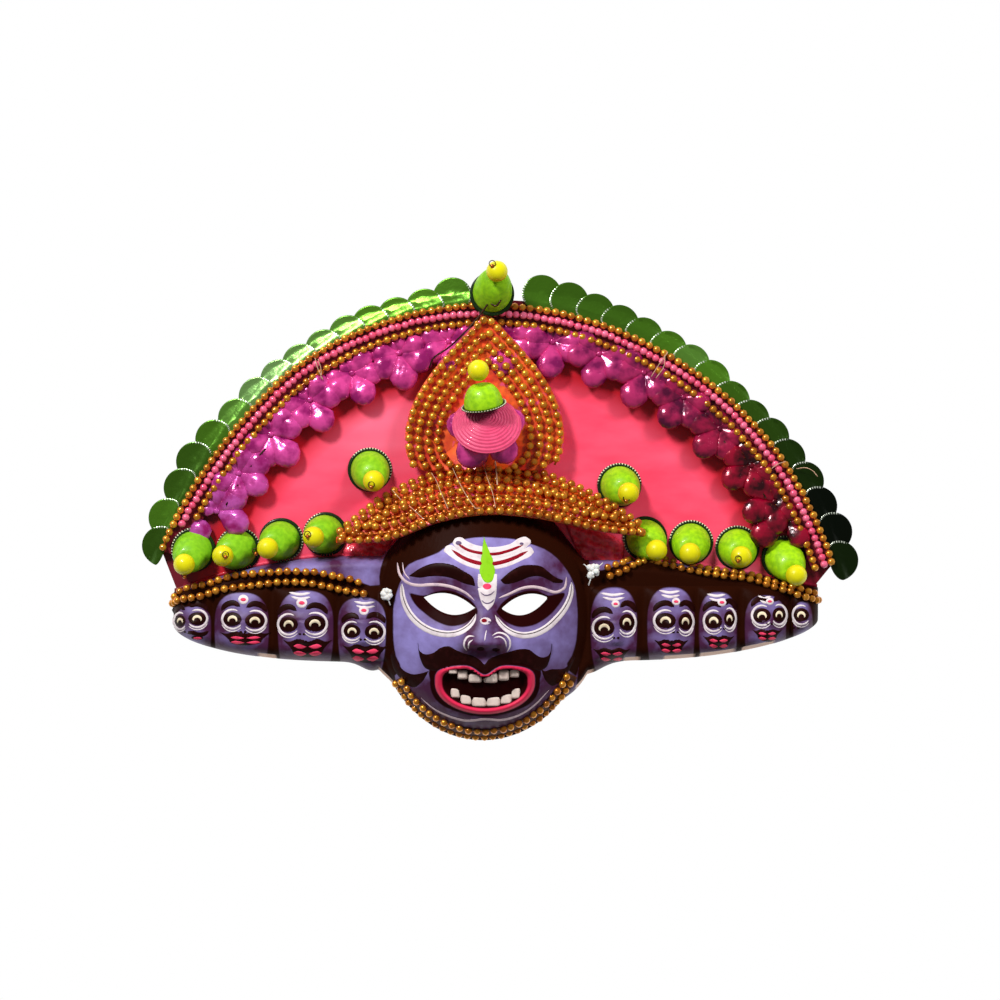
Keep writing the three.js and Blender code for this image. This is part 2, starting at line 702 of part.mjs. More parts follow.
// The rows under the chin run from just outside the shell's edge up onto it.
function chinStrip() {
  const columns = 15;
  const out = [3, 0.2, -3.5, -9];
  const floor = [2, 9, 9, 9];
  const thick = [BEAD, BEAD, BEAD, BEAD * 0.7];
  const low = (j, x, y) => Math.max(floor[j], shellHeight(x, y) + CHIN_GAP);
  return slab({
    columns,
    rows: out.length,
    place: (i, j) => {
      const angle = CHIN_STRIP.from + ((CHIN_STRIP.to - CHIN_STRIP.from) * i) / (columns - 1);
      const x = FACE_X + (FACE_HALF_WIDTH + out[j]) * Math.cos(angle);
      return [x, FACE_Y + (FACE_DOWN + out[j]) * Math.sin(angle)];
    },
    top: (i, j, x, y) => low(j, x, y) + thick[j],
    bottom: (i, j, x, y) => low(j, x, y),
  });
}

// Colours and finishes.
const finish = {
  skin: new THREE.MeshStandardMaterial({ color: '#8a8ac6', roughness: 0.3 }),
  fan: new THREE.MeshStandardMaterial({ color: '#f0405c', roughness: 0.5 }),
  gold: new THREE.MeshStandardMaterial({ color: '#c08a28', roughness: 0.25, metalness: 0.8 }),
  pink: new THREE.MeshStandardMaterial({ color: '#e8558f', roughness: 0.3 }),
  foil: new THREE.MeshStandardMaterial({ color: '#3f7a2c', roughness: 0.3, metalness: 0.7 }),
  magenta: new THREE.MeshStandardMaterial({ color: '#c0338f', roughness: 0.2 }),
  cone: new THREE.MeshStandardMaterial({ color: '#ee5fa0', roughness: 0.45 }),
  cup: new THREE.MeshStandardMaterial({ color: '#8fd030', roughness: 0.4 }),
  ball: new THREE.MeshStandardMaterial({ color: '#e8e020', roughness: 0.5 }),
  thread: new THREE.MeshStandardMaterial({ color: '#f4f2ea', roughness: 0.9 }),
};

const mask = new THREE.Group();

function piece(name, geometry, material) {
  const mesh = new THREE.Mesh(geometry, material);
  mesh.name = name;
  mask.add(mesh);
  return mesh;
}

const clearance = shellClearance();
piece('mask_shell', geometryOf(maskShell()), finish.skin);
piece('fan_board', geometryOf(fanBoard()), finish.fan);
piece('arch_beads_outer', archString(STRINGS.outer), finish.gold);
piece('arch_beads_pink', archString(STRINGS.pink), finish.pink);
piece('arch_beads_inner', archString(STRINGS.inner), finish.gold);

for (const side of ['left', 'right']) {
  piece('green_foil_' + side, geometryOf(foilRow(side)), finish.foil);
  const { count, first, step, radius } = PETALS[side];
  for (let k = 0; k < count; k += 1) {
    const angle = THREE.MathUtils.degToRad(first + step * k);
    const flower = geometryOf(lobedFlower(radius, 0, PETAL_HEIGHT, 6));
    const mesh = piece('petal_flower_' + side + '_' + (k + 1), flower, finish.magenta);
    mesh.position.set(...archPoint(angle, PETAL_RADIUS), FAN_THICKNESS + GAP);
    mesh.rotation.z = angle;
  }
  piece('wing_beads_' + side, geometryOf(wingStrip(side)), finish.gold);
  const tuft = piece('ear_tuft_' + side, new THREE.IcosahedronGeometry(TUFT_RADIUS, 0), finish.thread);
  const [x, y] = TUFTS[side];
  tuft.position.set(x, y, shellHeight(x, y) + TUFT_RADIUS + 2);
}

piece('chin_beads', geometryOf(chinStrip()), finish.gold);
piece('crest_board', geometryOf(crestBoard()), finish.gold);
piece('crown_brim', geometryOf(crownBrim(clearance)), finish.gold);

// Turns a piece of the crest flower to lean towards the crown, and swings it to the left.
function leanToCrown(object, { place, lean, swing = 0 }) {
  object.position.set(...place);
  object.rotation.order = 'ZXY';
  object.rotation.set(THREE.MathUtils.degToRad(-lean), 0, THREE.MathUtils.degToRad(swing));
}

const { petals, cone, cup } = CREST_FLOWER;
const petalSolid = lobedFlower(petals.radius, 0, petals.thickness, 8);
leanToCrown(piece('crest_petals', geometryOf(petalSolid), finish.magenta), petals);
const coneProfile = [[0, 0], [1, 0], [0.92, 0.35], [0.6, 0.8], [0, 1]].map(
  ([r, z]) => new THREE.Vector2(r * cone.radius, z * cone.height),
);
const coneSolid = new THREE.LatheGeometry(coneProfile, 10).rotateX(Math.PI / 2);
leanToCrown(piece('crest_cone', coneSolid, finish.cone), cone);
const crestStem = new THREE.Group();
leanToCrown(crestStem, cup);
mask.add(crestStem);

// Each cup stands at its place and leans by the ball's offset over the ball's height.
function cupFlower(cupName, ballName, parent, base, offset) {
  const up = CUP_HEIGHT + GAP + BALL_RADIUS;
  const green = new THREE.Mesh(cupOnDisc([offset[0] / up, offset[1] / up]), finish.cup);
  green.name = cupName;
  green.position.set(...base);
  const yellow = new THREE.Mesh(ball(BALL_RADIUS), finish.ball);
  yellow.name = ballName;
  yellow.position.set(base[0] + offset[0], base[1] + offset[1], base[2] + up);
  parent.add(green, yellow);
}

cupFlower('crest_cup', 'crest_ball', crestStem, [0, 0, 0], [0, 0]);
for (const { name, index, x, y, ball: [ballX, ballY] } of CUP_FLOWERS) {
  const onBand = Math.hypot(x - ARCH_X, y - ARCH_Y) + DISC_RADIUS > RIM_BAND_RADIUS;
  const base = [x, y, (onBand ? RIM_BAND_HEIGHT : FAN_THICKNESS) + GAP];
  cupFlower(name + '_cup_' + index, name + '_ball_' + index, mask, base, [ballX - x, ballY - y]);
}
cupFlower('top_cup', 'top_ball', mask, [-6.7, 173.9, CREST_HIGH + GAP], [4.2, 17.2]);

export default mask;
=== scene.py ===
"""Ten-headed demon king dance mask: a varnished papier-mache shell under a painted fan, with strings
of beads, foil discs and plastic flowers. It lies on its back, lit from the upper left, and the
camera looks straight down on it. X runs across the face, Y towards the crown, Z out of the face."""

import bpy
import numpy as np
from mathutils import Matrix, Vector


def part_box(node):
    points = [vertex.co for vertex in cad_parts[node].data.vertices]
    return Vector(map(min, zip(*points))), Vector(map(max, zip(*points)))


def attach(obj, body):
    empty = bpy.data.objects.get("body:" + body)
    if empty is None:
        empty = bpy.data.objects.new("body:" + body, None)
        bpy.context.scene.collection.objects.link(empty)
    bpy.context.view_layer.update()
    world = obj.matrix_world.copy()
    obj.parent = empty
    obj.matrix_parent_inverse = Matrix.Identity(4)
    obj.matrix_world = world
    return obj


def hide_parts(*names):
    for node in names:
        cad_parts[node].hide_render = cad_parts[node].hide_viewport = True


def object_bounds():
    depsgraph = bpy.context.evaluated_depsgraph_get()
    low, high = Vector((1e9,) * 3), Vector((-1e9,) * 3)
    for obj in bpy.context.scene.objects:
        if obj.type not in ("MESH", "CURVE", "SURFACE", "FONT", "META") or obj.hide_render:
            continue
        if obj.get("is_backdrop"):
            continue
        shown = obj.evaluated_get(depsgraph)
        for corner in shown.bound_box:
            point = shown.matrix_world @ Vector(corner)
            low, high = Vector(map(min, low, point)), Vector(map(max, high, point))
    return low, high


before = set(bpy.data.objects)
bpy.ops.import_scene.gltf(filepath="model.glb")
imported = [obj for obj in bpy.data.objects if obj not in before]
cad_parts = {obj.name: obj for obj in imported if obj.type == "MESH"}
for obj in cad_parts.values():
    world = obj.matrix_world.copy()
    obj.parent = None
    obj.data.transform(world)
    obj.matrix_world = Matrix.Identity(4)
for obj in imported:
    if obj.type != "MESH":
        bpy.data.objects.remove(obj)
cad_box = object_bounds()

# Camera: a long lens straight above the mask. The frame's width is that at the mask's middle depth.
FRAME_WIDTH = 0.84
SENSOR_WIDTH = 36.0
CAMERA_RISE = 3.0
CLIP_END = 20
MIDDLE_DEPTH = 0.022
FRAME_MIDDLE_Y = 0.00084

camera = bpy.data.objects.new("camera", bpy.data.cameras.new("camera"))
camera.data.sensor_width = SENSOR_WIDTH
camera.data.lens = SENSOR_WIDTH * CAMERA_RISE / FRAME_WIDTH
camera.data.clip_end = CLIP_END
camera.location = (0, FRAME_MIDDLE_Y, MIDDLE_DEPTH + CAMERA_RISE)
bpy.context.collection.objects.link(camera)
bpy.context.scene.camera = camera
bpy.context.scene.view_settings.view_transform = "Standard"


# Light: a lamp from the upper left, a weaker one from the upper right, and an even weak sky.
def area_light(name, place, size, power):
    """A square lamp at a place in metres that shines at the middle of the mask."""
    lamp = bpy.data.lights.new(name, "AREA")
    lamp.size = size
    lamp.energy = power
    holder = bpy.data.objects.new(name, lamp)
    holder.location = place
    holder.rotation_euler = (-Vector(place)).to_track_quat("-Z", "Y").to_euler()
    bpy.context.collection.objects.link(holder)


area_light("key_light", (-1.2, 1.7, 1.9), size=0.5, power=74)
area_light("side_light", (1.5, 1.3, 1.6), size=0.6, power=37)
bpy.data.objects["side_light"].visible_glossy = False
SKY_STRENGTH = 0.16
sky = bpy.data.worlds.new("sky")
bpy.context.scene.world = sky
sky.use_nodes = True
sky.node_tree.nodes["Background"].inputs["Color"].default_value = (1, 1, 1, 1)
sky.node_tree.nodes["Background"].inputs["Strength"].default_value = SKY_STRENGTH


# Floor: a plain white sheet that the mask lies on, lit from below so that no shadow shows on it.
# It lies a hair below the mask's flat back, so that the two never share a plane.
def linear(hex_colour):
    """sRGB hex to linear RGBA: the standard curve, low values divided by 12.92."""
    srgb = np.array([int(hex_colour[i : i + 2], 16) / 255 for i in (1, 3, 5)])
    curve = np.where(srgb <= 0.04045, srgb / 12.92, ((srgb + 0.055) / 1.055) ** 2.4)
    return (*curve.tolist(), 1.0)


def plug(node, inputs):
    """Fills a node's inputs by name or number, each with a plain value or with an output."""
    for socket, value in inputs.items():
        if isinstance(value, bpy.types.NodeSocket):
            node.id_data.links.new(value, node.inputs[socket])
        else:
            node.inputs[socket].default_value = value


def new_material(name, **sockets):
    """A new material and its shader, with plain values on the shader's own sockets."""
    made = bpy.data.materials.new(name)
    made.use_nodes = True
    shader = made.node_tree.nodes["Principled BSDF"]
    plug(shader, {socket.replace("_", " "): value for socket, value in sockets.items()})
    return made, shader


FLOOR_HALF, FLOOR_DROP = 3.0, 0.0004
floor_mesh = bpy.data.meshes.new("floor")
floor_corners = FLOOR_HALF * np.array([(-1, -1, 0), (1, -1, 0), (1, 1, 0), (-1, 1, 0)]) - (0, 0, FLOOR_DROP)
floor_mesh.from_pydata(floor_corners.tolist(), [], [(0, 1, 2, 3)])
floor = bpy.data.objects.new("floor", floor_mesh)
bpy.context.collection.objects.link(floor)
unlit = {"Base_Color": linear("#000000"), "Roughness": 1.0, "Specular_IOR_Level": 0.0}
backlit = {"Emission_Color": linear("#ffffff"), "Emission_Strength": 1.0}
floor_mesh.materials.append(new_material("backlit_white_sheet", **unlit, **backlit)[0])
floor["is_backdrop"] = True


# Papier-mache shell: the big face and both wings of small heads in one skin of paper and clay on a
# mould, hollow behind, 4.6 mm thick. It was painted by hand and varnished. Eye holes are cut out.
# Sizes are in millimetres, here and below, up to where a piece is put together.
MM = 0.001
FACE_X, FACE_Y = -14.5, -97.0
FACE_HALF_WIDTH, FACE_DOWN, FACE_UP, FACE_HEIGHT = 88.0, 102.5, 108.0, 64.0
WALL = 4.6
LEFT_END, RIGHT_END = -276.0, 269.0
WING_HEIGHT = 28.0
LEFT_WING = dict(start=-112, level=-90.0, drop=46, bluntness=2.5, top=-46, top_fall=32, curve=2.2)
RIGHT_WING = dict(start=90, level=-78.0, drop=57, bluntness=2.4, top=-49.5, top_fall=24, curve=1.8)
JOWLS = [(-107.5, 7.5, 9), (71.5, 11.5, 13)]
LEFT_GROOVES = [-92.5, -136, -191, -241, LEFT_END]
RIGHT_GROOVES = [75, 120, 165.5, 202, 244.5, RIGHT_END]
CHIN_BLEND, CROWN_BLEND = 40, 30
# How wide the edges are turned down, below and above, on the wings, and how much wider on the face.
TURN_BELOW, TURN_ABOVE, FACE_TURN_BELOW, FACE_TURN_ABOVE = 14, 11, 12, 11
HEAD_BULGE, HEAD_Y, HEAD_HALF_HEIGHT = 9.0, -103.0, 31.0
# Each small head's nose, lips and brow ridge: rise, then places and sizes in Y, widths in X.
SMALL_NOSE_RISE, SMALL_NOSE_TOP, SMALL_NOSE_LENGTH = 5, -100, 15
SMALL_NOSE_FOOT, SMALL_NOSE_WIDTH = -117, 3.5
SMALL_LIPS_RISE, SMALL_LIPS_Y, SMALL_LIPS_HEIGHT, SMALL_LIPS_WIDTH = 2.6, -127, 3, 7
SMALL_BROW_RISE, SMALL_BROW_Y, SMALL_BROW_HEIGHT = 2, -99, 3.5
EYES = [
    {"left": (-63.3, -80.2), "right": (-20.8, -88.5), "up": 7.4, "down": 9.7},
    {"left": (1.2, -89.2), "right": (40.0, -80.5), "up": 7.2, "down": 9.5},
]
EYE_LEVEL = -87.0
NOSE_X, NOSE_BRIDGE, NOSE_TIP, NOSE_HEIGHT, NOSE_HALF_WIDTH = -13.4, -72.0, -118.0, 13.0, 7.5
NOSTRIL_OUT, NOSTRIL_RISE = 14, 7.5
DIP_DEPTH, DIP_OUT, DIP_WIDTH = 2.2, 9.5, 1.8
# Each brow ridge: its middle, half width, level and arch.
BROWS = [(-49, 32, -66, 13), (27, 30, -68, 12)]
BROW_RISE, BROW_WIDTH, HOLLOW_DEPTH, CHEEK_RISE, CHEEK_Y = 4, 5.5, 4, 4, -113
MOUTH_X, MOUTH_Y, MOUTH_HALF, MOUTH_UP, MOUTH_DOWN = -12.5, -151.5, 41.6, 15.6, 26.0
LIP_WIDTH, LIP_RISE, MOUTH_DEPTH = 6.0, 3.6, 5.0
# Each swelling's rise, then its middle and width in X, and its middle and height in Y.
MUZZLE_AND_CHIN = [(6, MOUTH_X, 32, MOUTH_Y, 22), (5, MOUTH_X, 15, -187, 8)]


def rounded_step(t, bluntness):
    """From 0 up to 1 by a quarter of a superellipse; the bluntness is its power."""
    return (1 - (1 - np.clip(t, 0, 1)) ** bluntness) ** (1 / bluntness)


def rounded_fall(t, bluntness):
    """The rounded step run backwards, from 1 down to 0."""
    return rounded_step(1 - np.clip(t, 0, 1), bluntness)


def bell(distance, width):
    """1 in the middle, falling off by the power of minus half the squared distance in widths."""
    return np.exp(-0.5 * (distance / width) ** 2)


def smooth_min(a, b, blend):
    """The lower of two heights, with the corner where they meet rounded over a blend in mm."""
    near = np.maximum(blend - np.abs(a - b), 0) / blend
    return np.minimum(a, b) - near * near * blend / 4


def smooth_step(t, low, high):
    """From 0 at low to 1 at high, by three squares minus two cubes of the share of the way."""
    t = np.clip((t - low) / (high - low), 0, 1)
    return t * t * (3 - 2 * t)


def by_side(x, left, right):
    """One value left of the face's middle, another one right of it."""
    return np.where(x < FACE_X, left, right)


def wing_reach(wing, end, x, inset):
    """A wing's lower edge at x: its level minus a drop that falls off round towards its end."""
    t = (x - wing["start"]) / (end - wing["start"])
    return wing["level"] - (wing["drop"] - inset) * rounded_fall(t, wing["bluntness"])


def oval_half(x, half_width, reach):
    """Half the height of the face's oval at x."""
    return reach * np.sqrt(1 - np.minimum(np.abs((x - FACE_X) / half_width), 1) ** 2)


def shell_bottom(x, inset=0.0):
    """Lower edge: the wings' rounded sweep joined smoothly to the chin's oval, with a jowl that
    fills the corner on each side, a bell by its middle, depth and width."""
    left = wing_reach(LEFT_WING, LEFT_END + inset, x, inset)
    right = wing_reach(RIGHT_WING, RIGHT_END - inset, x, inset)
    chin = FACE_Y - oval_half(x, FACE_HALF_WIDTH - inset, FACE_DOWN - inset)
    jowls = sum(depth * bell(x - middle, width) for middle, depth, width in JOWLS)
    return smooth_min(by_side(x, left, right), chin, CHIN_BLEND) - jowls


def shell_top(x, inset=0.0):
    """Upper edge: each wing falls by a power of the way out, joined smoothly to the crown's oval."""
    sides = []
    for wing, end in ((LEFT_WING, LEFT_END), (RIGHT_WING, RIGHT_END)):
        t = np.maximum((x - wing["start"]) / (end - wing["start"]), 0)
        sides.append(wing["top"] - inset - wing["top_fall"] * t ** wing["curve"])
    crown = FACE_Y + oval_half(x, FACE_HALF_WIDTH - inset, FACE_UP - inset)
    return -smooth_min(-by_side(x, *sides), -crown, CROWN_BLEND)


def face_nearness(x, y, inset=0.0):
    """How far out on the face a point is, from 0 at its middle to 1 on its oval."""
    reach = np.where(y < FACE_Y, FACE_DOWN, FACE_UP) - inset
    return np.hypot((x - FACE_X) / (FACE_HALF_WIDTH - inset), (y - FACE_Y) / reach)


def plain_height(x, y, inset=0.0):
    """The wings' height, which falls off round to their ends, plus the rest of the face's height by
    (1 - r^2.2)^0.9 over its oval, all times a rounded step up from each edge; and that step."""
    reach = by_side(x, LEFT_END + inset, RIGHT_END - inset)
    start = FACE_X + np.sign(reach) * (FACE_HALF_WIDTH - 8)
    wing = WING_HEIGHT * rounded_fall((x - start) / (reach - start), 2.6)
    near = np.minimum(face_nearness(x, y, inset), 1)
    dome = (1 - near**2.2) ** 0.9
    in_face = 1 - smooth_step(np.abs(x - FACE_X), 50, 95)
    low = (y - shell_bottom(x, inset)) / (TURN_BELOW + FACE_TURN_BELOW * in_face)
    high = (shell_top(x, inset) - y) / (TURN_ABOVE + FACE_TURN_ABOVE * in_face)
    edge = rounded_step(low, 2.5) * rounded_step(high, 2.5)
    return (wing + (FACE_HEIGHT - wing) * dome) * edge, edge


def head_relief(x, y):
    """Each small head: a bulge (1 - u^2.4)^0.7 (1 - v^3)^0.6 between its grooves, plus bells for its
    nose, which rises downwards from the brow, its lips and its brow ridge."""
    relief = np.zeros(np.broadcast(x, y).shape)
    for grooves in (LEFT_GROOVES, RIGHT_GROOVES):
        for start, end in zip(grooves[:-1], grooves[1:]):
            middle, half = (start + end) / 2, abs(end - start) / 2
            across = np.minimum(np.abs(x - middle) / half, 1)
            down = np.minimum(np.abs(y - HEAD_Y) / HEAD_HALF_HEIGHT, 1)
            bulge = HEAD_BULGE * (1 - across**2.4) ** 0.7 * (1 - down**3) ** 0.6
            nose = SMALL_NOSE_RISE * bell(x - middle, SMALL_NOSE_WIDTH)
            nose = nose * rounded_step((SMALL_NOSE_TOP - y) / SMALL_NOSE_LENGTH, 2)
            nose = nose * bell(np.minimum(y - SMALL_NOSE_FOOT, 0), 2.5)
            lips = SMALL_LIPS_RISE * bell(x - middle, SMALL_LIPS_WIDTH)
            lips = lips * bell(y - SMALL_LIPS_Y, SMALL_LIPS_HEIGHT)
            brows = SMALL_BROW_RISE * bell(y - SMALL_BROW_Y, SMALL_BROW_HEIGHT) * (1 - across**2)
            relief += np.where(across < 1, bulge + nose + lips + brows, 0)
    return relief


def mouth_place(x, y):
    """How far a point is across the lips, from 0 at their outer to 1 at their inner outline, and
    the same outlines as ratios: each is half an oval below and a flatter arch above, that dips in
    the middle."""
    u = np.abs(x - MOUTH_X)
    v = y - MOUTH_Y
    v = v + 8 * bell((x - MOUTH_X) / MOUTH_HALF, 0.15) * smooth_step(v, 0, 6)
    above = v > 0
    reach = np.where(above, MOUTH_UP, MOUTH_DOWN)
    half, depth = MOUTH_HALF - LIP_WIDTH, reach - np.where(above, 0.42, 0.85) * LIP_WIDTH
    across, up = np.where(above, 3.0, 2.0), np.where(above, 4.0, 2.0)
    outer = ((u / MOUTH_HALF) ** across + (np.abs(v) / reach) ** up) ** (1 / across)
    inner = ((u / half) ** across + (np.abs(v) / depth) ** up) ** (1 / across)
    share = (1 - outer) / np.maximum((1 - outer) + (inner - 1), 1e-6)
    return np.where(outer > 1, 0, np.where(inner < 1, 1, share)), outer, inner


def lip_distance(x, y):
    """About how far a point is from the lips' outer outline in mm: that ratio over its slope."""
    run = mouth_place(x + 0.5, y)[1] - mouth_place(x - 0.5, y)[1]
    rise = mouth_place(x, y + 0.5)[1] - mouth_place(x, y - 0.5)[1]
    return (mouth_place(x, y)[1] - 1) / np.maximum(np.hypot(run, rise), 1e-3)


def face_relief(x, y):
    """Nose, nostrils, brow ridges, eye hollows, cheeks, muzzle and chin, as sums of bells."""
    along = np.clip((NOSE_BRIDGE - y) / (NOSE_BRIDGE - NOSE_TIP), 0, 1)
    under = bell(np.minimum(y - NOSE_TIP, 0), 3.5)
    ridge = NOSE_HEIGHT * (0.15 * rounded_step(along * 6, 2) + 0.85 * along**1.4) * under
    relief = ridge * bell(x - NOSE_X, NOSE_HALF_WIDTH * (0.75 + 0.5 * along))
    nostril = bell(np.abs(x - NOSE_X) - NOSTRIL_OUT, 5) * bell(y - NOSE_TIP - 1, 6)
    relief = relief + NOSTRIL_RISE * nostril
    relief -= DIP_DEPTH * bell(np.abs(x - NOSE_X) - DIP_OUT, DIP_WIDTH) * bell(y - NOSE_TIP + 7, 3)
    for middle, half, height, arch in BROWS:
        t = (x - middle) / half
        relief += BROW_RISE * bell(y - height - arch * (1 - t * t), BROW_WIDTH) * bell(t, 0.75)
    for eye in EYES:
        middle = (eye["left"][0] + eye["right"][0]) / 2
        relief -= HOLLOW_DEPTH * bell(x - middle, 17) * bell(y - EYE_LEVEL, 9)
        cheek_x = middle - np.sign(FACE_X - middle) * 3
        relief += CHEEK_RISE * bell(x - cheek_x, 15) * bell(y - CHEEK_Y, 12)
    for rise, middle_x, width, middle_y, height in MUZZLE_AND_CHIN:
        relief += rise * bell(x - middle_x, width) * bell(y - middle_y, height)
    return relief


def shell_height(x, y):
    """The whole front of the shell: plain form, face and heads, raised lips and the sunk mouth."""
    height, edge = plain_height(x, y)
    in_face = 1 - smooth_step(face_nearness(x, y), 0.8, 1)
    across, outer, inner = mouth_place(x, y)
    lips = LIP_RISE * np.sin(np.pi * across) ** 0.8 - MOUTH_DEPTH * smooth_step(1 - inner, 0, 0.14)
    return height + (face_relief(x, y) * in_face + head_relief(x, y)) * edge + lips


def eye_outline(eye, x):
    """Upper and lower edge of an eye hole at x: arcs over a line from tip to tip."""
    (x0, y0), (x1, y1) = eye["left"], eye["right"]
    t = np.clip((x - x0) / (x1 - x0), 0, 1)
    middle = y0 + (y1 - y0) * t
    return middle + 4 * eye["up"] * t * (1 - t), middle - 4 * eye["down"] * t * (1 - t)


def in_eye(x, y, eye):
    """Whether points are inside an eye hole."""
    up, down = eye_outline(eye, x)
    return (x > eye["left"][0]) & (x < eye["right"][0]) & (y < up) & (y > down)


def polygon_distance(x, y, corners):
    """Distance in mm from points to a closed outline, above zero inside it."""
    corners = np.asarray(corners, float)
    inside = np.zeros(x.shape, bool)
    nearest = np.full(x.shape, 1e9)
    for (x0, y0), (x1, y1) in zip(corners, np.roll(corners, -1, 0)):
        run, rise = x1 - x0, y1 - y0
        t = np.clip(((x - x0) * run + (y - y0) * rise) / max(run * run + rise * rise, 1e-9), 0, 1)
        nearest = np.minimum(nearest, np.hypot(x - x0 - t * run, y - y0 - t * rise))
        crosses = (y0 > y) != (y1 > y)
        inside ^= crosses & (x < x0 + run * (y - y0) / np.where(rise == 0, 1e-9, rise))
    return np.where(inside, nearest, -nearest)


# Small heads: middle, half width and top of each painted face, from the left end to the right.
HEADS = [
    (-258, 15.2, -88.8), (-217, 22.6, -77.2), (-163.3, 23.2, -75.6), (-116, 20, -81.2),
    (95.7, 19.4, -72.9), (143.6, 19.8, -72.9), (183.1, 15.8, -76.9), (223, 17.2, -79.6),
    (254.5, 8, -84.8),
]
HEAD_MIDDLE_Y, HEAD_DOWN, HAIR_START_LEFT, HAIR_START_RIGHT = -104, 52, 78, 84
# Upper edge of the wings' painted hair, under the upper row of beads.
ROW_TOPS = np.array([
    (-272, -76), (-251, -72), (-232, -65), (-200, -60), (-172, -59), (-142, -63), (-121, -67),
    (-109, -71), (86, -58), (107, -52), (129, -50), (151, -55), (181, -58), (208, -61), (232, -65),
    (261, -71),
])
# The big face's outline and the outer edge of its hair, read off the photo.
FACE_LINE = [
    (350, 800), (352, 700), (374, 680), (396, 675), (402, 668.5), (397.1, 659.4), (393.9, 643.4),
    (393.3, 624.3), (394, 603.6), (399, 586), (403.2, 575), (404.5, 568.5), (411.5, 563),
    (424.2, 558.2), (440, 551.8), (450, 544), (460, 540.5), (472, 538), (484.8, 537.3), (497.5, 538),
    (513.5, 539.2), (531, 544.3), (545.3, 549.7), (558, 559.3), (567.6, 571.7), (574, 584.5),
    (576.9, 603.6), (577.2, 627.5), (575.6, 643.4), (571.6, 656.2), (566, 667), (573, 674), (596, 682),
    (618, 700), (620, 800),
]
HAIR_LINE = [
    (397, 800), (397, 690), (392, 664), (388.2, 643), (386.5, 621), (384.8, 604), (380.2, 589),
    (379.2, 577), (381.6, 564), (387, 552), (396.5, 541), (410, 524), (436, 505), (484, 498),
    (534, 504), (570, 526), (582, 543), (588.2, 557), (590.7, 571.7), (591.5, 589), (590.7, 611.6),
    (588.3, 630.7), (582, 656.2), (574, 686), (574, 800),
]
# Dark paint round each eye, read off the photo.
EYE_SHADES = [
    [(408.4, 592.5), (425.5, 595.3), (436.2, 591.6), (446.9, 590.1), (460.7, 594.1), (475.2, 605.2),
     (477.8, 610.9), (465.3, 623.1), (451.5, 626.2), (437.7, 622.1), (425.5, 614.0), (415.1, 604.5)],
    [(495.9, 612.1), (502.0, 602.9), (512.7, 595.3), (525.0, 591.0), (537.2, 590.7), (547.9, 595.3),
     (564.7, 593.0), (555.6, 609.1), (544.9, 619.0), (531.1, 625.9), (517.3, 626.7), (505.1, 621.3)],
]
# Where along the wings the lower edge is bare paper, and that edge's low bevel.
BARE_RIMS = [(-203, -189), (-102, -89), (64, 78), (105, 117), (138, 163), (168, 197), (204, 231)]
RIM_WIDTH, RIM_PAINT_WIDTH, RIM_FOOT, RIM_SLOPE = 4.4, 3.9, 2.0, 2.4
# The mouth's inner outline is about this far from its middle in mm.
MOUTH_REACH = 30
# One pixel of the photo in mm: the frame is a thousand of them wide.
PIXEL = FRAME_WIDTH


def from_pixels(points):
    """Places read off the photo as millimetres, true for what lies at the middle depth."""
    points = np.asarray(points, float)
    return np.stack([(points[..., 0] - 500) * PIXEL, (501 - points[..., 1]) * PIXEL], -1)


def closeness(height):
    """How much smaller a thing must be to look its size when it stands this high, by the lens."""
    return 1 - (height - MIDDLE_DEPTH / MM) / (CAMERA_RISE / MM)


def nearest_head(x):
    """For each x the row of HEADS whose middle is nearest, counted in half widths."""
    middles, halves = np.array(HEADS)[:, 0], np.array(HEADS)[:, 1]
    return np.argmin(np.abs(x[..., None] - middles) / halves, -1)


def line_through(points, count):
    """A smooth line through a few points: cubic between each two, evenly spread over its length."""
    points = np.asarray(points, float)
    along = np.concatenate([[0], np.cumsum(np.linalg.norm(np.diff(points, axis=0), axis=1))])
    slope = np.gradient(points, along, axis=0)
    s = np.linspace(0, along[-1], count)
    i = np.clip(np.searchsorted(along, s, side="right") - 1, 0, len(along) - 2)
    span = (along[i + 1] - along[i])[:, None]
    t = (s - along[i])[:, None] / span
    ends = (2 * t**3 - 3 * t**2 + 1) * points[i] + (3 * t**2 - 2 * t**3) * points[i + 1]
    return ends + span * ((t**3 - 2 * t**2 + t) * slope[i] + (t**3 - t**2) * slope[i + 1])


def outline_distance(x, y, points, count=90):
    """Distance in mm to a smooth line read off the photo and closed by a straight one, above zero
    inside it."""
    return polygon_distance(x, y, from_pixels(line_through(points, count)))


def face_hair(x, y):
    """The painted hair round the big face, in mm above zero where it is."""
    return np.minimum(outline_distance(x, y, HAIR_LINE), -outline_distance(x, y, FACE_LINE))


def wing_hair(x, y):
    """The painted hair over and between the small heads, below the upper row of beads."""
    head = np.array(HEADS)[nearest_head(x)]
    across = np.abs(x - head[..., 0]) / head[..., 1]
    reach = np.where(y > HEAD_MIDDLE_Y, head[..., 2] - HEAD_MIDDLE_Y, HEAD_DOWN)
    along = np.abs(y - HEAD_MIDDLE_Y) / reach
    outside = ((across**2.6 + along**2.6) ** (1 / 2.6) - 1) * head[..., 1]
    below_row = np.interp(x, ROW_TOPS[:, 0], ROW_TOPS[:, 1]) - y
    start = by_side(x, HAIR_START_LEFT, HAIR_START_RIGHT)
    in_wing = np.abs(x - FACE_X) - start - 0.1 * (y - HEAD_MIDDLE_Y)
    return np.minimum(np.minimum(outside, below_row), in_wing)


def bare_rim(x, gap, width):
    """Where the paper's turned-out edge is left bare: 1 nearer to the lower edge than a width."""
    shows = sum(smooth_step(x, a - 1, a + 1) * smooth_step(x, b + 1, b - 1) for a, b in BARE_RIMS)
    return shows * smooth_step(gap, width, width - 0.7)


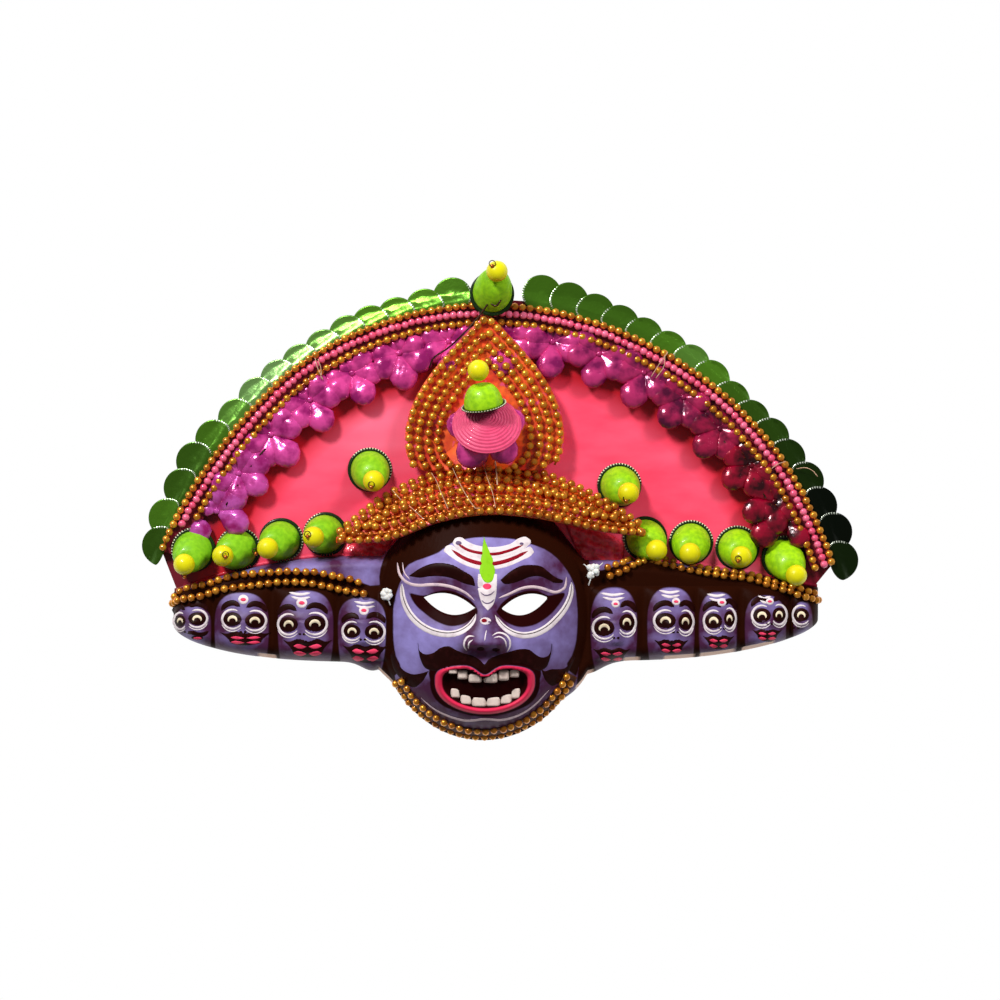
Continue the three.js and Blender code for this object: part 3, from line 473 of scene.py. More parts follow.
# Airbrushed purple as soft ovals, with painted shade under and beside the nose; the one below zero is a
# painted highlight on the left cheek. Strength, then middle and width in X, middle and height in Y.
AIRBRUSH_AND_SHADE = [
    (0.9, NOSE_X, 14, -128, 6),
    (0.35, NOSE_X + 5, 12, -112, 12),
    (-0.25, -73, 11, -126, 26),
    (0.45, 44, 12, -55, 10),
    (0.3, -72, 12, -62, 9),
]


def face_shade(x, y):
    """The big face's airbrushed purple with painted shade: the soft ovals, rings round the eyes, both sides
    of the nose and of the mouth, painted shade on the chin's lower part, the rim of the face and more
    painted shade on the right."""
    middle_eyes = [(eye["left"][0] + eye["right"][0]) / 2 for eye in EYES]
    shade = 0.14 + 0.95 * sum(bell(np.hypot((x - m) / 1.5, y - EYE_LEVEL), 13) for m in middle_eyes)
    shade = shade + 0.6 * sum(bell(np.hypot((x - m) / 1.9, y - EYE_LEVEL - 17), 7) for m in middle_eyes)
    beside_nose = smooth_step(-y, 80, 112) * smooth_step(-y, 142, 128)
    shade = shade + 0.6 * bell(np.abs(x - NOSE_X) - 12, 5) * beside_nose
    shade = shade + 0.55 * bell(np.abs(x - MOUTH_X) - 52, 9) * bell(y - MOUTH_Y + 0.5, 14)
    # Painted shade: darker towards the chin's lower edge, and a little darker on the right side.
    shade = shade + 0.85 * smooth_step(-y, 140, 180) + 0.22 * smooth_step(x, 10, 60)
    for strength, middle_x, width, middle_y, height in AIRBRUSH_AND_SHADE:
        shade = shade + strength * bell(x - middle_x, width) * bell(y - middle_y, height)
    return shade + 0.4 * np.minimum(face_nearness(x, y), 1) ** 5


def small_head_shade(x, y):
    """The small heads' airbrushed purple: darker to their sides and over the eyes, and painted shade from
    the lips down to their lower edge.
    """
    head = np.array(HEADS)[nearest_head(x)]
    side = np.abs(x - head[..., 0]) / head[..., 1]
    return 0.42 + 0.6 * side**2 + 0.4 * bell(y + 101, 7) + 0.6 * smooth_step(-y, 114, 131)


def shell_paint(x, y, z):
    """Everything painted straight on the skin, in mm above zero where it is, and the airbrushed
    purple with painted shade in it, from 0 for lavender to 1 for deep purple."""
    inside_mouth = (1 - mouth_place(x, y)[2]) * MOUTH_REACH
    from_lip = lip_distance(x, y)
    # The dark ring round the lips' outline is widened at the mouth's corners as painted shade, and above
    # the lips up to the moustache.
    band = 1.0 + 1.2 * bell(np.abs(x - MOUTH_X) - MOUTH_HALF, 9) + 0.9 * smooth_step(y - MOUTH_Y, 2, 9)
    rim = bare_rim(x, y - shell_bottom(x), RIM_PAINT_WIDTH)
    x, y = x / closeness(z), y / closeness(z)
    eye_shade = np.full(x.shape, -50.0)
    for outline in EYE_SHADES:
        closed = np.array(outline + outline[:1])
        eye_shade = np.maximum(eye_shade, outline_distance(x, y, closed, 60))
    paint = {"hair": np.maximum(face_hair(x, y), wing_hair(x, y))}
    paint["dark"] = np.maximum(np.maximum(eye_shade, inside_mouth), band - np.abs(from_lip - band))
    paint["lip"] = -from_lip
    in_wing = smooth_step(np.abs(x - FACE_X), 80, 92)
    shade = face_shade(x, y) * (1 - in_wing) + small_head_shade(x, y) * in_wing
    return {**paint, "shade": np.clip(shade, 0, 1), "rim": rim}


def grid_faces(rows, columns, wrap=False):
    """Quads over a grid of points numbered row by row; wrap joins the last column to the first."""
    at = np.arange(rows * columns).reshape(rows, columns)
    if wrap:
        at = np.concatenate([at, at[:, :1]], 1)
    quads = np.stack([at[:-1, :-1], at[1:, :-1], at[1:, 1:], at[:-1, 1:]], -1)
    return quads.reshape(-1, 4)


# The skin: outer and inner surface on one grid, joined along the rims and through the eye holes.
# Its columns are evenly spread over the face and closer together towards the wings' ends; its rows
# are partly even and partly closer towards both edges.
SHELL_ROWS, WING_COLUMNS, FACE_COLUMNS, FACE_REACH = 140, 96, 158, 92
EVEN_ROWS, EDGE_ROWS, END_SPAN = 0.55, 0.45, 40
leftwards = 1 - np.cos(np.linspace(0, np.pi / 2, WING_COLUMNS, endpoint=False))
rightwards = 1 - np.cos(np.linspace(np.pi / 2, 0, WING_COLUMNS))
columns = np.concatenate([
    LEFT_END + (FACE_X - FACE_REACH - LEFT_END) * leftwards**0.8,
    np.linspace(FACE_X - FACE_REACH, FACE_X + FACE_REACH, FACE_COLUMNS, endpoint=False),
    RIGHT_END - (RIGHT_END - FACE_X - FACE_REACH) * rightwards**0.8,
])
v = np.linspace(0, 1, SHELL_ROWS)
row_share = EVEN_ROWS * v + EDGE_ROWS * (0.5 - 0.5 * np.cos(np.pi * v))
shell_x = np.repeat(columns[:, None], SHELL_ROWS, 1)
low, high = shell_bottom(shell_x), shell_top(shell_x)
shell_y = low + (high - low) * row_share
cells = [np.s_[:-1, :-1], np.s_[1:, :-1], np.s_[1:, 1:], np.s_[:-1, 1:]]
cell_x = sum(shell_x[cell] for cell in cells) / 4
cell_y = sum(shell_y[cell] for cell in cells) / 4
open_cell = np.zeros(cell_x.shape, bool)
hole_edge = np.zeros(shell_x.shape, bool)
for eye in EYES:
    cut = in_eye(cell_x, cell_y, eye)
    open_cell |= cut
    near_cut, near_kept = np.zeros(shell_x.shape, bool), np.zeros(shell_x.shape, bool)
    for cell in cells:
        near_cut[cell] |= cut
        near_kept[cell] |= ~cut
    edge = near_cut & near_kept
    up, down = eye_outline(eye, shell_x)
    nearer = np.where(np.abs(shell_y - up) < np.abs(shell_y - down), up, down)
    shell_y = np.where(edge, nearer, shell_y)
    hole_edge |= edge
to_left, to_right = (
    smooth_step(shell_x, LEFT_END + END_SPAN, LEFT_END),
    smooth_step(shell_x, RIGHT_END - END_SPAN, RIGHT_END),
)
inner_x = shell_x + WALL * (to_left - to_right)
inner_low, inner_high = shell_bottom(inner_x, WALL), shell_top(inner_x, WALL)
inner_y = inner_low + (inner_high - inner_low) * row_share
inner_x, inner_y = np.where(hole_edge, shell_x, inner_x), np.where(hole_edge, shell_y, inner_y)
shell_z = np.maximum(shell_height(shell_x, shell_y), 0)
rim_gap = shell_y - shell_bottom(shell_x)
bevel = np.minimum(shell_z, RIM_FOOT + RIM_SLOPE * rim_gap)
shell_z += (bevel - shell_z) * bare_rim(shell_x, rim_gap, RIM_WIDTH)
inner_z = np.maximum(plain_height(inner_x, inner_y, WALL)[0] - WALL, 0)
inner_z = np.where(np.isfinite(inner_z), inner_z, 0)
outer_points = np.stack([shell_x, shell_y, shell_z], -1).reshape(-1, 3)
inner_points = np.stack([inner_x, inner_y, inner_z], -1).reshape(-1, 3)
kept = grid_faces(*shell_x.shape)[~open_cell.reshape(-1)]
edges = np.concatenate([kept[:, [0, 1]], kept[:, [1, 2]], kept[:, [2, 3]], kept[:, [3, 0]]])
code = edges[:, 0].astype(np.int64) * len(outer_points) + edges[:, 1]
back = edges[:, 1].astype(np.int64) * len(outer_points) + edges[:, 0]
rim_edges = edges[~np.isin(code, back)]
under = len(outer_points)
rim_walls = np.concatenate([rim_edges[:, ::-1], rim_edges + under], 1)
shell_part = {"points": np.concatenate([outer_points, inner_points])}
shell_part["faces"] = [kept, kept[:, ::-1] + under, rim_walls]
UNPAINTED = {"hair": -9.0, "dark": -9.0, "lip": -9.0, "shade": 0.0, "rim": 1.0}
for key, value in shell_paint(shell_x, shell_y, shell_z).items():
    shell_part[key] = np.concatenate([value.reshape(-1), np.full(under, UNPAINTED[key])])


# Poster paint under a thick brushed varnish: lavender airbrushed with purple, partly as painted shade,
# brown-black hair. The varnish evens out the grain of the paper and leaves soft brush marks; the black
# shines least.
def add(made, kind, inputs, out=0, **settings):
    """Adds a node to a material with its settings and inputs, and gives one of its outputs."""
    new = made.node_tree.nodes.new("ShaderNode" + kind)
    for key, value in settings.items():
        setattr(new, key, value)
    plug(new, inputs)
    return new.outputs[out]


def painted(made, colour, coats):
    """A colour under coats of others: each coat is its share, from 0 to 1, and its colour, a hex
    value or an output."""
    colour = linear(colour) if isinstance(colour, str) else colour
    for share, coat in coats:
        coat = linear(coat) if isinstance(coat, str) else coat
        colour = add(made, "Mix", {0: share, 6: colour, 7: coat}, 2, data_type="RGBA")
    return colour


varnished, skin = new_material("varnished_papier_mache", Roughness=0.45)
place = add(varnished, "TexCoord", {}, "Object")
mottle = add(varnished, "TexNoise", {"Vector": place, "Scale": 90.0, "Detail": 4.0})
grain = add(varnished, "TexNoise", {"Vector": place, "Scale": 420.0, "Detail": 3.0})
values = {key: add(varnished, "Attribute", {}, "Fac", attribute_name=key) for key in UNPAINTED}
for key, soft_edge in (("hair", 0.5), ("lip", 0.4), ("dark", 0.5)):
    limits = {"From Min": -soft_edge, "From Max": soft_edge}
    values[key] = add(varnished, "MapRange", {"Value": values[key], **limits})
limits = {"From Min": 0.3, "From Max": 0.7, "To Min": -0.18, "To Max": 0.18}
uneven = add(varnished, "MapRange", {"Value": mottle, **limits})
purple_and_shade = add(varnished, "Math", {0: values["shade"], 1: uneven}, operation="ADD", use_clamp=True)
coats = [(purple_and_shade, "#481e40"), (values["hair"], "#260c04"), (values["rim"], "#f4cdb8")]
coats += [(values["lip"], "#dc2850"), (values["dark"], "#240606")]
black = add(varnished, "Math", {0: values["hair"], 1: values["dark"]}, operation="MAXIMUM")
shine = add(varnished, "MapRange", {"Value": black, "To Min": 0.22, "To Max": 0.02})
bump = add(varnished, "Bump", {"Height": grain, "Strength": 0.25, "Distance": 0.0006})
bump = add(varnished, "Bump", {"Height": mottle, "Strength": 0.5, "Distance": 0.0008, "Normal": bump})
surface = {"Specular IOR Level": shine, "Normal": bump}
plug(skin, {"Base Color": painted(varnished, "#9689cb", coats), **surface})


def make_piece(name, parts, material, stands_for=()):
    """Joins parts into one object of the mask, in metres, with the parts' own point values."""
    sizes = [len(part["points"]) for part in parts]
    starts = np.cumsum([0, *sizes[:-1]])
    faces = []
    for part, start in zip(parts, starts):
        for block in part["faces"]:
            faces += (block + start).tolist()
    mesh = bpy.data.meshes.new(name)
    mesh.from_pydata((np.concatenate([part["points"] for part in parts]) * MM).tolist(), [], faces)
    for key in sorted(set().union(*parts) - {"points", "faces"}):
        values = [np.broadcast_to(part.get(key, 0.0), size) for part, size in zip(parts, sizes)]
        layer = mesh.attributes.new(key, "FLOAT", "POINT")
        layer.data.foreach_set("value", np.concatenate(values).astype(np.float32))
    mesh.shade_smooth()
    mesh.materials.append(material)
    made = bpy.data.objects.new(name, mesh)
    bpy.context.collection.objects.link(made)
    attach(made, "root")
    if stands_for:
        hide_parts(*stands_for)
    return made


make_piece("papier_mache_shell", [shell_part], varnished, ["mask_shell"])


# Painted features of the big face: strokes and patches of thick poster paint on the skin, each a
# thin raised film. Places are read off the photo and laid on the skin as the lens sees them.
def at_level(points, height):
    """Flat points (..., 2) at a height, one for all or one for each."""
    return np.concatenate([points, np.broadcast_to(height, points.shape[:-1])[..., None]], -1)


def on_skin(points, rise=0.0):
    """Places off the photo laid on the skin, found in two steps, a rise in mm above it."""
    seen = from_pixels(points)
    height = shell_height(*np.moveaxis(seen, -1, 0))
    height = shell_height(*np.moveaxis(seen * closeness(height)[..., None], -1, 0))
    place = seen * closeness(height)[..., None]
    height = np.maximum(shell_height(*np.moveaxis(place, -1, 0)), 0)
    return at_level(place, height + rise)


def slab(top, bottom):
    """A closed thin sheet between two grids of points (n, m, 3), with walls round its border."""
    edge_u = top[1:, :-1] - top[:-1, :-1]
    edge_v = top[:-1, 1:] - top[:-1, :-1]
    if (edge_u[..., 0] * edge_v[..., 1] - edge_u[..., 1] * edge_v[..., 0]).sum() < 0:
        top, bottom = top[:, ::-1], bottom[:, ::-1]
    n, m = top.shape[:2]
    at = np.arange(n * m).reshape(n, m)
    border = np.concatenate([at[:-1, 0], at[-1, :-1], at[:0:-1, -1], at[0, :0:-1]])
    onward = np.roll(border, -1)
    walls = np.stack([border + n * m, onward + n * m, onward, border], -1)
    quads = grid_faces(n, m)
    points = np.concatenate([top.reshape(-1, 3), bottom.reshape(-1, 3)])
    return {"points": points, "faces": [quads, quads[:, ::-1] + n * m, walls]}


# How far apart a film's points are, the least width it keeps, how deep its foot and its edges sit in
# the skin, and half the width of a brush stroke's tip.
FILM_STEP, LEAST_WIDTH, FILM_FOOT, FILM_SINK, TIP_WIDTH = 1.3, 0.3, 0.5, 0.1, 0.12


def sideways(line):
    """For each point of a flat line, the unit vector square to its run."""
    ahead = np.gradient(line, axis=0)
    return np.stack([-ahead[:, 1], ahead[:, 0]], -1) / np.linalg.norm(ahead, axis=1, keepdims=True)


def film(upper, lower, rise=0.4, lift=0.0):
    """Paint between two lines: higher than the skin by lift + rise (4v(1-v))^0.4 across it."""
    upper, lower = np.asarray(upper, float), np.asarray(lower, float)
    length = np.linalg.norm(np.diff(upper, axis=0), axis=1).sum() * PIXEL
    count = max(6, int(length / FILM_STEP))
    a, b = line_through(upper, count), line_through(lower, count)
    side = sideways((a + b) / 2)
    apart = np.linalg.norm(a - b, axis=1)
    side *= np.sign(((a - b) * side).sum()) * np.maximum(LEAST_WIDTH - apart, 0)[:, None] / 2
    a, b = a + side, b - side
    v = np.linspace(0, 1, max(5, int(apart.max() * PIXEL / FILM_STEP) + 2))
    points = b[:, None] + (a - b)[:, None] * v[None, :, None]
    top = on_skin(points)
    bottom = top - (0, 0, FILM_FOOT)
    bottom[..., 2] = np.maximum(bottom[..., 2], 0)
    swell = (lift + rise) * (4 * v * (1 - v)) ** 0.4
    top[..., 2] = np.maximum(top[..., 2] + swell - FILM_SINK, 0)
    return slab(top, bottom)


def stroke(points, width, taper=0.5, lift=0.0):
    """A brush stroke of a width in pixels, narrowing to its ends by a power of 4u(1-u)."""
    points = np.asarray(points, float)
    middle = line_through(points, max(8, 2 * len(points)))
    u = np.linspace(0, 1, len(middle))[:, None]
    side = sideways(middle) * (width / 2 * (4 * u * (1 - u)) ** taper + TIP_WIDTH)
    return film(middle + side, middle - side, lift=lift)


def spot(x, y, half_width, half_height, lift=0.0):
    """A dab of paint with an oval outline."""
    turn = np.linspace(np.pi, 0, 9)
    across = x + half_width * np.cos(turn)
    down = half_height * np.sin(turn)
    return film(np.stack([across, y - down], -1), np.stack([across, y + down], -1), lift=lift)


def pillow(x, y, width, height, rise):
    """A tooth on the mouth's floor: a rounded oblong, puffed by ((1 - u^6)(1 - v^6))^0.35."""
    u, v = np.meshgrid(np.linspace(-1, 1, 9), np.linspace(-1, 1, 9), indexing="ij")
    across = x + width / 2 * u * np.sqrt(1 - 0.2 * v**4)
    down = y + height / 2 * v * np.sqrt(1 - 0.2 * u**4)
    top = on_skin(np.stack([across, down], -1))
    floor_height = on_skin(np.array([[x, y]]))[0, 2]
    top[..., 2] = floor_height + rise * ((1 - u**6) * (1 - v**6)) ** 0.35
    bottom = top.copy()
    bottom[..., 2] = floor_height - 1
    return slab(top, bottom)


def poster_paint(name, hex_colour, worn_hex):
    """Glossy paint with a little of a second colour where the brush left less of it."""
    made, shader = new_material(name, Roughness=0.45, Specular_IOR_Level=0.08)
    place = add(made, "TexCoord", {}, "Object")
    brushed = add(made, "TexNoise", {"Vector": place, "Scale": 160.0, "Detail": 4.0})
    share = add(made, "MapRange", {"Value": brushed, "From Min": 0.5, "From Max": 0.8})
    plug(shader, {"Base Color": painted(made, hex_colour, [(share, worn_hex)])})
    return made


black_paint = poster_paint("brown_black_poster_paint", "#200604", "#341010")
BROW_LEFT = (
    [(409.4, 575.4), (417.8, 569.3), (428.6, 563.9), (440.8, 562.4), (453, 564.7), (463.8, 570.8),
     (472.9, 576.9), (475.2, 585.3)],
    [(409.4, 576.2), (419.4, 578.1), (430.1, 576.9), (440.8, 576.9), (453, 579.2), (463.8, 583.8),
     (474.5, 586.1)],
)
BROW_RIGHT = (
    [(500.5, 580), (505.1, 575.4), (512.7, 569.3), (521.9, 565), (531.1, 564.4), (541.8, 566.2),
     (549.4, 572.3), (557.1, 577.7), (563.2, 580)],
    [(500.5, 580), (503.5, 583.8), (512.7, 583.8), (521.9, 580.7), (531.1, 577.2), (540.3, 576.9),
     (547.9, 580), (554, 583), (562.5, 583)],
)
MOUSTACHE = (
    [(417.8, 642.7), (419.4, 650.4), (425.5, 654.2), (433.1, 652.7), (440.8, 647.3), (448.5, 645.8),
     (456.1, 649.6), (465.3, 653.4), (472.9, 655.7), (480.6, 660.3), (484.4, 664.1), (488.2, 659.6),
     (495.9, 655.7), (508.1, 651.9), (520.4, 648.8), (529.6, 649.6), (535.7, 654.2), (541.8, 657.3),
     (547.9, 655.7), (551, 650.4), (551.7, 643.5)],
    [(417.8, 643.5), (418.6, 651.9), (420.9, 661.1), (425.5, 668.7), (434.7, 671), (443.9, 668.6),
     (454.6, 666), (466.8, 665.8), (476, 668.6), (484.8, 675), (493, 669), (502, 665.8),
     (515.8, 664.4), (525, 665), (534.1, 669), (540.3, 671), (546.4, 667.2), (550.2, 658),
     (552.2, 644.3)],
)
SIDEBURNS = [
    ([(393, 650), (397.5, 661), (402.7, 669), (413, 673.7), (421, 673), (428.5, 671)],
     [(390, 655), (394, 670), (401.9, 680.5), (414.6, 688.1), (421.5, 683), (428.5, 671.5)]),
    ([(541, 668), (544.5, 671), (550.1, 669), (565.3, 667.4), (574, 655)],
     [(541, 669), (546.1, 681.7), (551.7, 686.5), (560.5, 682), (575.5, 658)]),
]
parts = [film(*BROW_LEFT), film(*BROW_RIGHT), film(*MOUSTACHE, rise=0.7)]
parts += [film(*pair) for pair in SIDEBURNS]
parts += [spot(480.6, 649.2, 4.2, 2.2), spot(495.9, 650, 4.2, 2.2)]
# White bands under the eyes, each with a thin black line along its upper edge.
UNDER_LEFT = [
    (401.8, 583), (402.5, 595.3), (407.1, 609.1), (416.3, 621.3), (427, 628.9), (440.8, 633.5),
    (454.6, 633.5), (465.3, 628.9), (472.9, 621.3), (476, 613.6),
]
UNDER_RIGHT = [
    (571.6, 581.5), (570.9, 593.8), (566.3, 606), (557.1, 618.2), (544.9, 628.9), (532.6, 634.3),
    (520.4, 635.1), (509.7, 631.2), (500.5, 623.6), (495.1, 615.2),
]
parts += [stroke(line - np.array([0, 1.3]), 0.9, 0.3, lift=0.3) for line in (UNDER_LEFT, UNDER_RIGHT)]
make_piece("painted_brows_and_moustache", parts, black_paint)

white_paint = poster_paint("white_poster_paint", "#e4d8da", "#c4b0b8")
parts = [stroke(UNDER_LEFT, 7.4, 0.35), stroke(UNDER_RIGHT, 7.4, 0.35)]
FOREHEAD = [
    ([(452.6, 542.5), (455, 538.2), (460.7, 536.6), (467, 540.6), (475, 544.2), (485, 546.2),
      (497.4, 546.3), (511.2, 542.9), (519.5, 537.4), (525.5, 536.4), (530.8, 540)],
     [(452.8, 543.5), (456, 549), (466, 556), (478, 559.5), (490, 560), (502, 558.5), (513, 555),
      (524, 550), (531, 543)]),
    ([(443.6, 550.5), (446.5, 545.5), (451, 544.3), (458, 549.5), (470, 555.5), (486, 558), (502, 557),
      (515, 553), (526, 547.5), (530, 546), (533.8, 551)],
     [(443.8, 551.5), (451, 557.5), (463.8, 565), (479.1, 569.8), (494.4, 569.8), (509.7, 566.2),
      (523.4, 560), (530, 557), (533.9, 552.5)]),
]
parts += [film(*pair) for pair in FOREHEAD]
# The white band that runs down the nose's bridge, under the leaf.
NOSE_BAND = (
    [(477.6, 574), (477.4, 588), (479.1, 597), (482.1, 604.5), (487.9, 610.6)],
    [(497.6, 574), (497.4, 588), (496.2, 597), (493.6, 604.5), (487.9, 610.6)],
)
parts += [film(*NOSE_BAND), spot(485.5, 621, 5.6, 4.1)]
parts += [
    stroke([(474.5, 636.3), (468.3, 636.3), (464.5, 641.2), (464.5, 647.3), (466.8, 650.4)], 2.0),
    stroke([(472.9, 639.7), (469.1, 642.7), (468.3, 648.8)], 1.4),
    stroke([(492.1, 635.8), (497.4, 632.8), (505.1, 634.3), (509.7, 639.7), (509.7, 647.3),
            (506.9, 651.9)], 2.0),
    stroke([(493.6, 638.1), (499.7, 636.6), (505.1, 640.4), (506.3, 647.3)], 1.4),
    stroke([(486.5, 630), (485.3, 636), (484.6, 641)], 1.2),
]
make_piece("painted_white_marks", parts, white_paint)

pale_paint = poster_paint("thin_pale_paint", "#d8bfc4", "#a890a8")
parts = [
    stroke([(397.2, 562.4), (400.2, 575.4), (407.9, 583), (417.8, 585.3), (431.6, 584.6),
            (443.9, 585.3), (456.1, 588.4), (466.8, 593.8), (474.5, 600.6)], 3.4, 0.35),
    stroke([(402.5, 562.4), (404.1, 572.3), (410.2, 580)], 1.2),
    stroke([(566.3, 576.9), (564.7, 587.6), (555.6, 592.2), (544.9, 589.2), (534.1, 586.9),
            (521.9, 588.4), (509.7, 593.8), (498.2, 598.3)], 3.2, 0.35),
    stroke([(420.9, 697.8), (433.1, 708.5), (448.5, 716.2), (466.8, 720.8), (484.4, 719.2), (502, 720),
            (520.4, 714.6), (534.1, 705.5), (549, 690)], 2.2),
]
make_piece("painted_pale_lines", parts, pale_paint)

red_paint = poster_paint("dark_red_poster_paint", "#8e0f20", "#6a0a18")
parts = [
    stroke([(456.1, 542.5), (466.8, 549.4), (482.1, 553.2), (494.4, 554), (508.1, 550.9),
            (523.4, 544.8)], 4.2, 0.2, lift=0.3),
    stroke([(451.5, 549.4), (460.7, 556.3), (472.9, 561.6), (485.2, 563.9), (497.4, 563.1),
            (512.7, 558.6), (528, 550.9)], 5.6, 0.25, lift=0.3),
]
parts += [spot(484.2, 620.6, 2.9, 2.7, lift=0.35)]
make_piece("painted_red_stripes", parts, red_paint)

grey_paint = poster_paint("grey_poster_paint", "#6a5878", "#50405c")
parts = [spot(458.6, 543, 3.1, 2.9, lift=0.5), spot(521.6, 543.6, 2.0, 1.8, lift=0.5)]
parts += [spot(489.6, 621.8, 1.6, 1.2, lift=0.35)]
make_piece("painted_dark_dots", parts, grey_paint)

green_paint = poster_paint("leaf_green_poster_paint", "#8ccc1e", "#78b418")
LEAF = (
    [(484, 536.8), (482.1, 547.8), (480.3, 558.6), (479.1, 567.7), (480.6, 576.9), (485.2, 582.3),
     (488.2, 582.7)],
    [(484, 536.8), (487.5, 546.3), (492.1, 555.5), (495.1, 566.2), (495.1, 573.9), (492.1, 581.5),
     (488.2, 582.7)],
)
make_piece("painted_green_leaf", [film(*LEAF, lift=0.5)], green_paint)
pink_paint = poster_paint("pink_poster_dabs", "#ee4468", "#d02a50")
make_piece("painted_pink_dot", [spot(487.1, 586.4, 4.3, 4, lift=0.35)], pink_paint)
parts = [stroke([(480.5, 592), (484, 595), (490, 594.6), (494.5, 591)], 1.4, lift=0.35)]
parts += [stroke([(481.5, 600), (485.5, 603.2), (490.5, 602.6), (494.5, 599)], 1.6, lift=0.35)]
make_piece("painted_grey_curves", parts, grey_paint)

# Teeth, upper row first: middle, width and height of each, read off the photo.
TOOTH_ROWS = [
    (453, 670.8, 9, 5.5), (462.6, 674.4, 10.8, 9.5), (475.3, 678, 13.6, 9.2), (490.6, 677.6, 14, 10.4),
    (503.5, 674.9, 11, 11.5), (514.3, 672.4, 10, 10), (455.3, 692.8, 9.2, 10.5),
    (466, 699.4, 11.2, 11.2), (479, 701.7, 14, 11.2), (493.2, 701.5, 13.8, 11),
    (506.2, 698.9, 11.6, 11.2), (515.6, 693.3, 9.4, 12),
]
UPPER_TEETH, UPPER_RISE, LOWER_RISE = 6, 3.6, 2.0
tooth_paint = poster_paint("tooth_white_paint", "#dccabf", "#bca8a0")
parts = [pillow(*tooth, UPPER_RISE) for tooth in TOOTH_ROWS[:UPPER_TEETH]]
parts += [pillow(*tooth, LOWER_RISE) for tooth in TOOTH_ROWS[UPPER_TEETH:]]
make_piece("painted_teeth", parts, tooth_paint)


# Small heads: the same painted features on each, in the big face's paints. They were read off the
# photo head by head: two eyes (middle, half width, half height), the dot on the brow with its half
# width, the foot of the nose, the lips with their spread, and the brow strokes' ends and level.
SMALL_HEADS = [
    {"eyes": [(180, 621, 5, 6.3), (197.2, 618.6, 8, 6.6)], "nose": (187, 632)},
    {"eyes": [(232.4, 619.2, 8.2, 7.2), (254.9, 620.7, 9, 7.5)], "dot": (243.3, 599.5, 5.2),
     "nose": (243, 632), "lips": (245.5, 640, 8, 2.3)},
    {"eyes": [(288.6, 624.4, 8.4, 7.8), (314.9, 623.7, 9.6, 8.2)], "dot": (301.8, 602.9, 5.5),
     "nose": (302, 634.2), "lips": (307.6, 649.8, 7.6, 3.5), "strokes": (289, 310.5, 592.4)},
    {"eyes": [(352, 631.2, 7.6, 7), (374.1, 631.9, 8.4, 7.6)], "dot": (363.9, 610.4, 5),
     "nose": (362.8, 639.6), "lips": (365.3, 654.8, 7.1, 3.6), "strokes": (354, 375, 601.5)},
    {"eyes": [(604.2, 628, 9.2, 8.2), (626.9, 622.5, 7, 8.6)], "dot": (615.6, 603.9, 4.2),
     "nose": (616, 638), "lips": (611.7, 656.4, 5.9, 2.7), "strokes": (600.5, 624.5, 593)},
    {"eyes": [(665.6, 620.6, 9.2, 7.8), (685.5, 621.7, 6.3, 8.4)], "dot": (676.1, 601.6, 4.2),
     "nose": (675.6, 632.2), "lips": (671.4, 647.7, 5.3, 2.8), "strokes": (659, 680, 590.5)},
    {"eyes": [(713.6, 620.9, 7.8, 7.8), (729.5, 618.6, 5, 7.8)], "dot": (721.9, 602.4, 4.5),
     "nose": (722.2, 628.8), "lips": (718.6, 643.2, 4.9, 2.7), "strokes": (707, 725.5, 594)},
    {"eyes": [(762, 615.5, 8, 7.5), (779.2, 614.7, 6, 7.5)], "dot": (769.8, 601.4, 4),
     "nose": (769.8, 624), "lips": (767.2, 636, 4.7, 2.4), "strokes": (758, 771, 596)},
    {"eyes": [(801.3, 615, 7, 7.2)], "nose": (796, 628)},
]


def arc(x, y, half_width, half_height, start, end, count=11):
    """Part of an oval, by compass of the photo: 0 degrees to the right, 90 up."""
    turn = np.radians(np.linspace(start, end, count))
    return np.stack([x + half_width * np.cos(turn), y - half_height * np.sin(turn)], -1)


# Forms that every head shares, about the middle of the eye, of the lips or of one half lip. Sizes are
# in half widths and half heights of the eye, strokes in pixels, and arcs' ends in degrees.
EYE_BLACK, EYE_RING, EYE_LINE = (1.12, 1.06), (1.25, 1.33), (1.42, 1.7)
GLINT_TOP, GLINT_FOOT, GLINT_ENDS = (0.64, 0.66), (0.38, 0.34), (195, -15)
RING_ENDS, LINE_ENDS = (58, 325), (205, 318)
BROW_STROKE, RING_STROKE, LINE_STROKE = 6.6, 2.6, 1.2
EYEBROW = np.array([(-1.3, -1.15), (-1.05, -1.7), (-0.5, -2.15), (0.2, -2.25), (0.95, -1.75)])
MOUSTACHE_TOP = np.array([(-22, -9.5), (-17, -8), (-9, -11), (0, -8.6), (9, -11), (17, -8), (22, -9.5)])
MOUSTACHE_FOOT = np.array([(-22, -9), (-17, -3.5), (-13, 2), (0, 4.5), (13, 2), (17, -3.5), (22, -9)])
LIP_TOP = np.array([(-0.85, -0.1), (-0.3, -0.75), (0.2, -0.55), (0.85, 0.1)])
LIP_FOOT = np.array([(-0.85, 0), (-0.3, 0.7), (0.3, 0.75), (0.85, 0.15)])


def head_eye(x, y, half_width, half_height, mirror):
    """One eye: a black oval, a white ring open towards the nose and a line under it, a black brow,
    and a cream glint between two arcs. Mirror is 1 for the left eye and -1 for the right one."""
    size = np.array([half_width, half_height])
    around = arc(0, 0, *(EYE_RING * size), *RING_ENDS, 17) * (mirror, 1) + (x, y)
    below = arc(0, 0, *(EYE_LINE * size), *LINE_ENDS) * (mirror, 1) + (x, y)
    brow = EYEBROW * (mirror * half_width, half_height) + (x, y)
    blacks.extend([spot(x, y, *(EYE_BLACK * size)), stroke(brow, BROW_STROKE, 0.4)])
    whites.extend([stroke(around, RING_STROKE, 0.35), stroke(below, LINE_STROKE, 0.5)])
    glint_top = arc(x, y + 0.05 * half_height, *(GLINT_TOP * size), *GLINT_ENDS)
    glint_foot = arc(x, y + 0.3 * half_height, *(GLINT_FOOT * size), *GLINT_ENDS)
    creams.append(film(glint_top, glint_foot, lift=0.35))


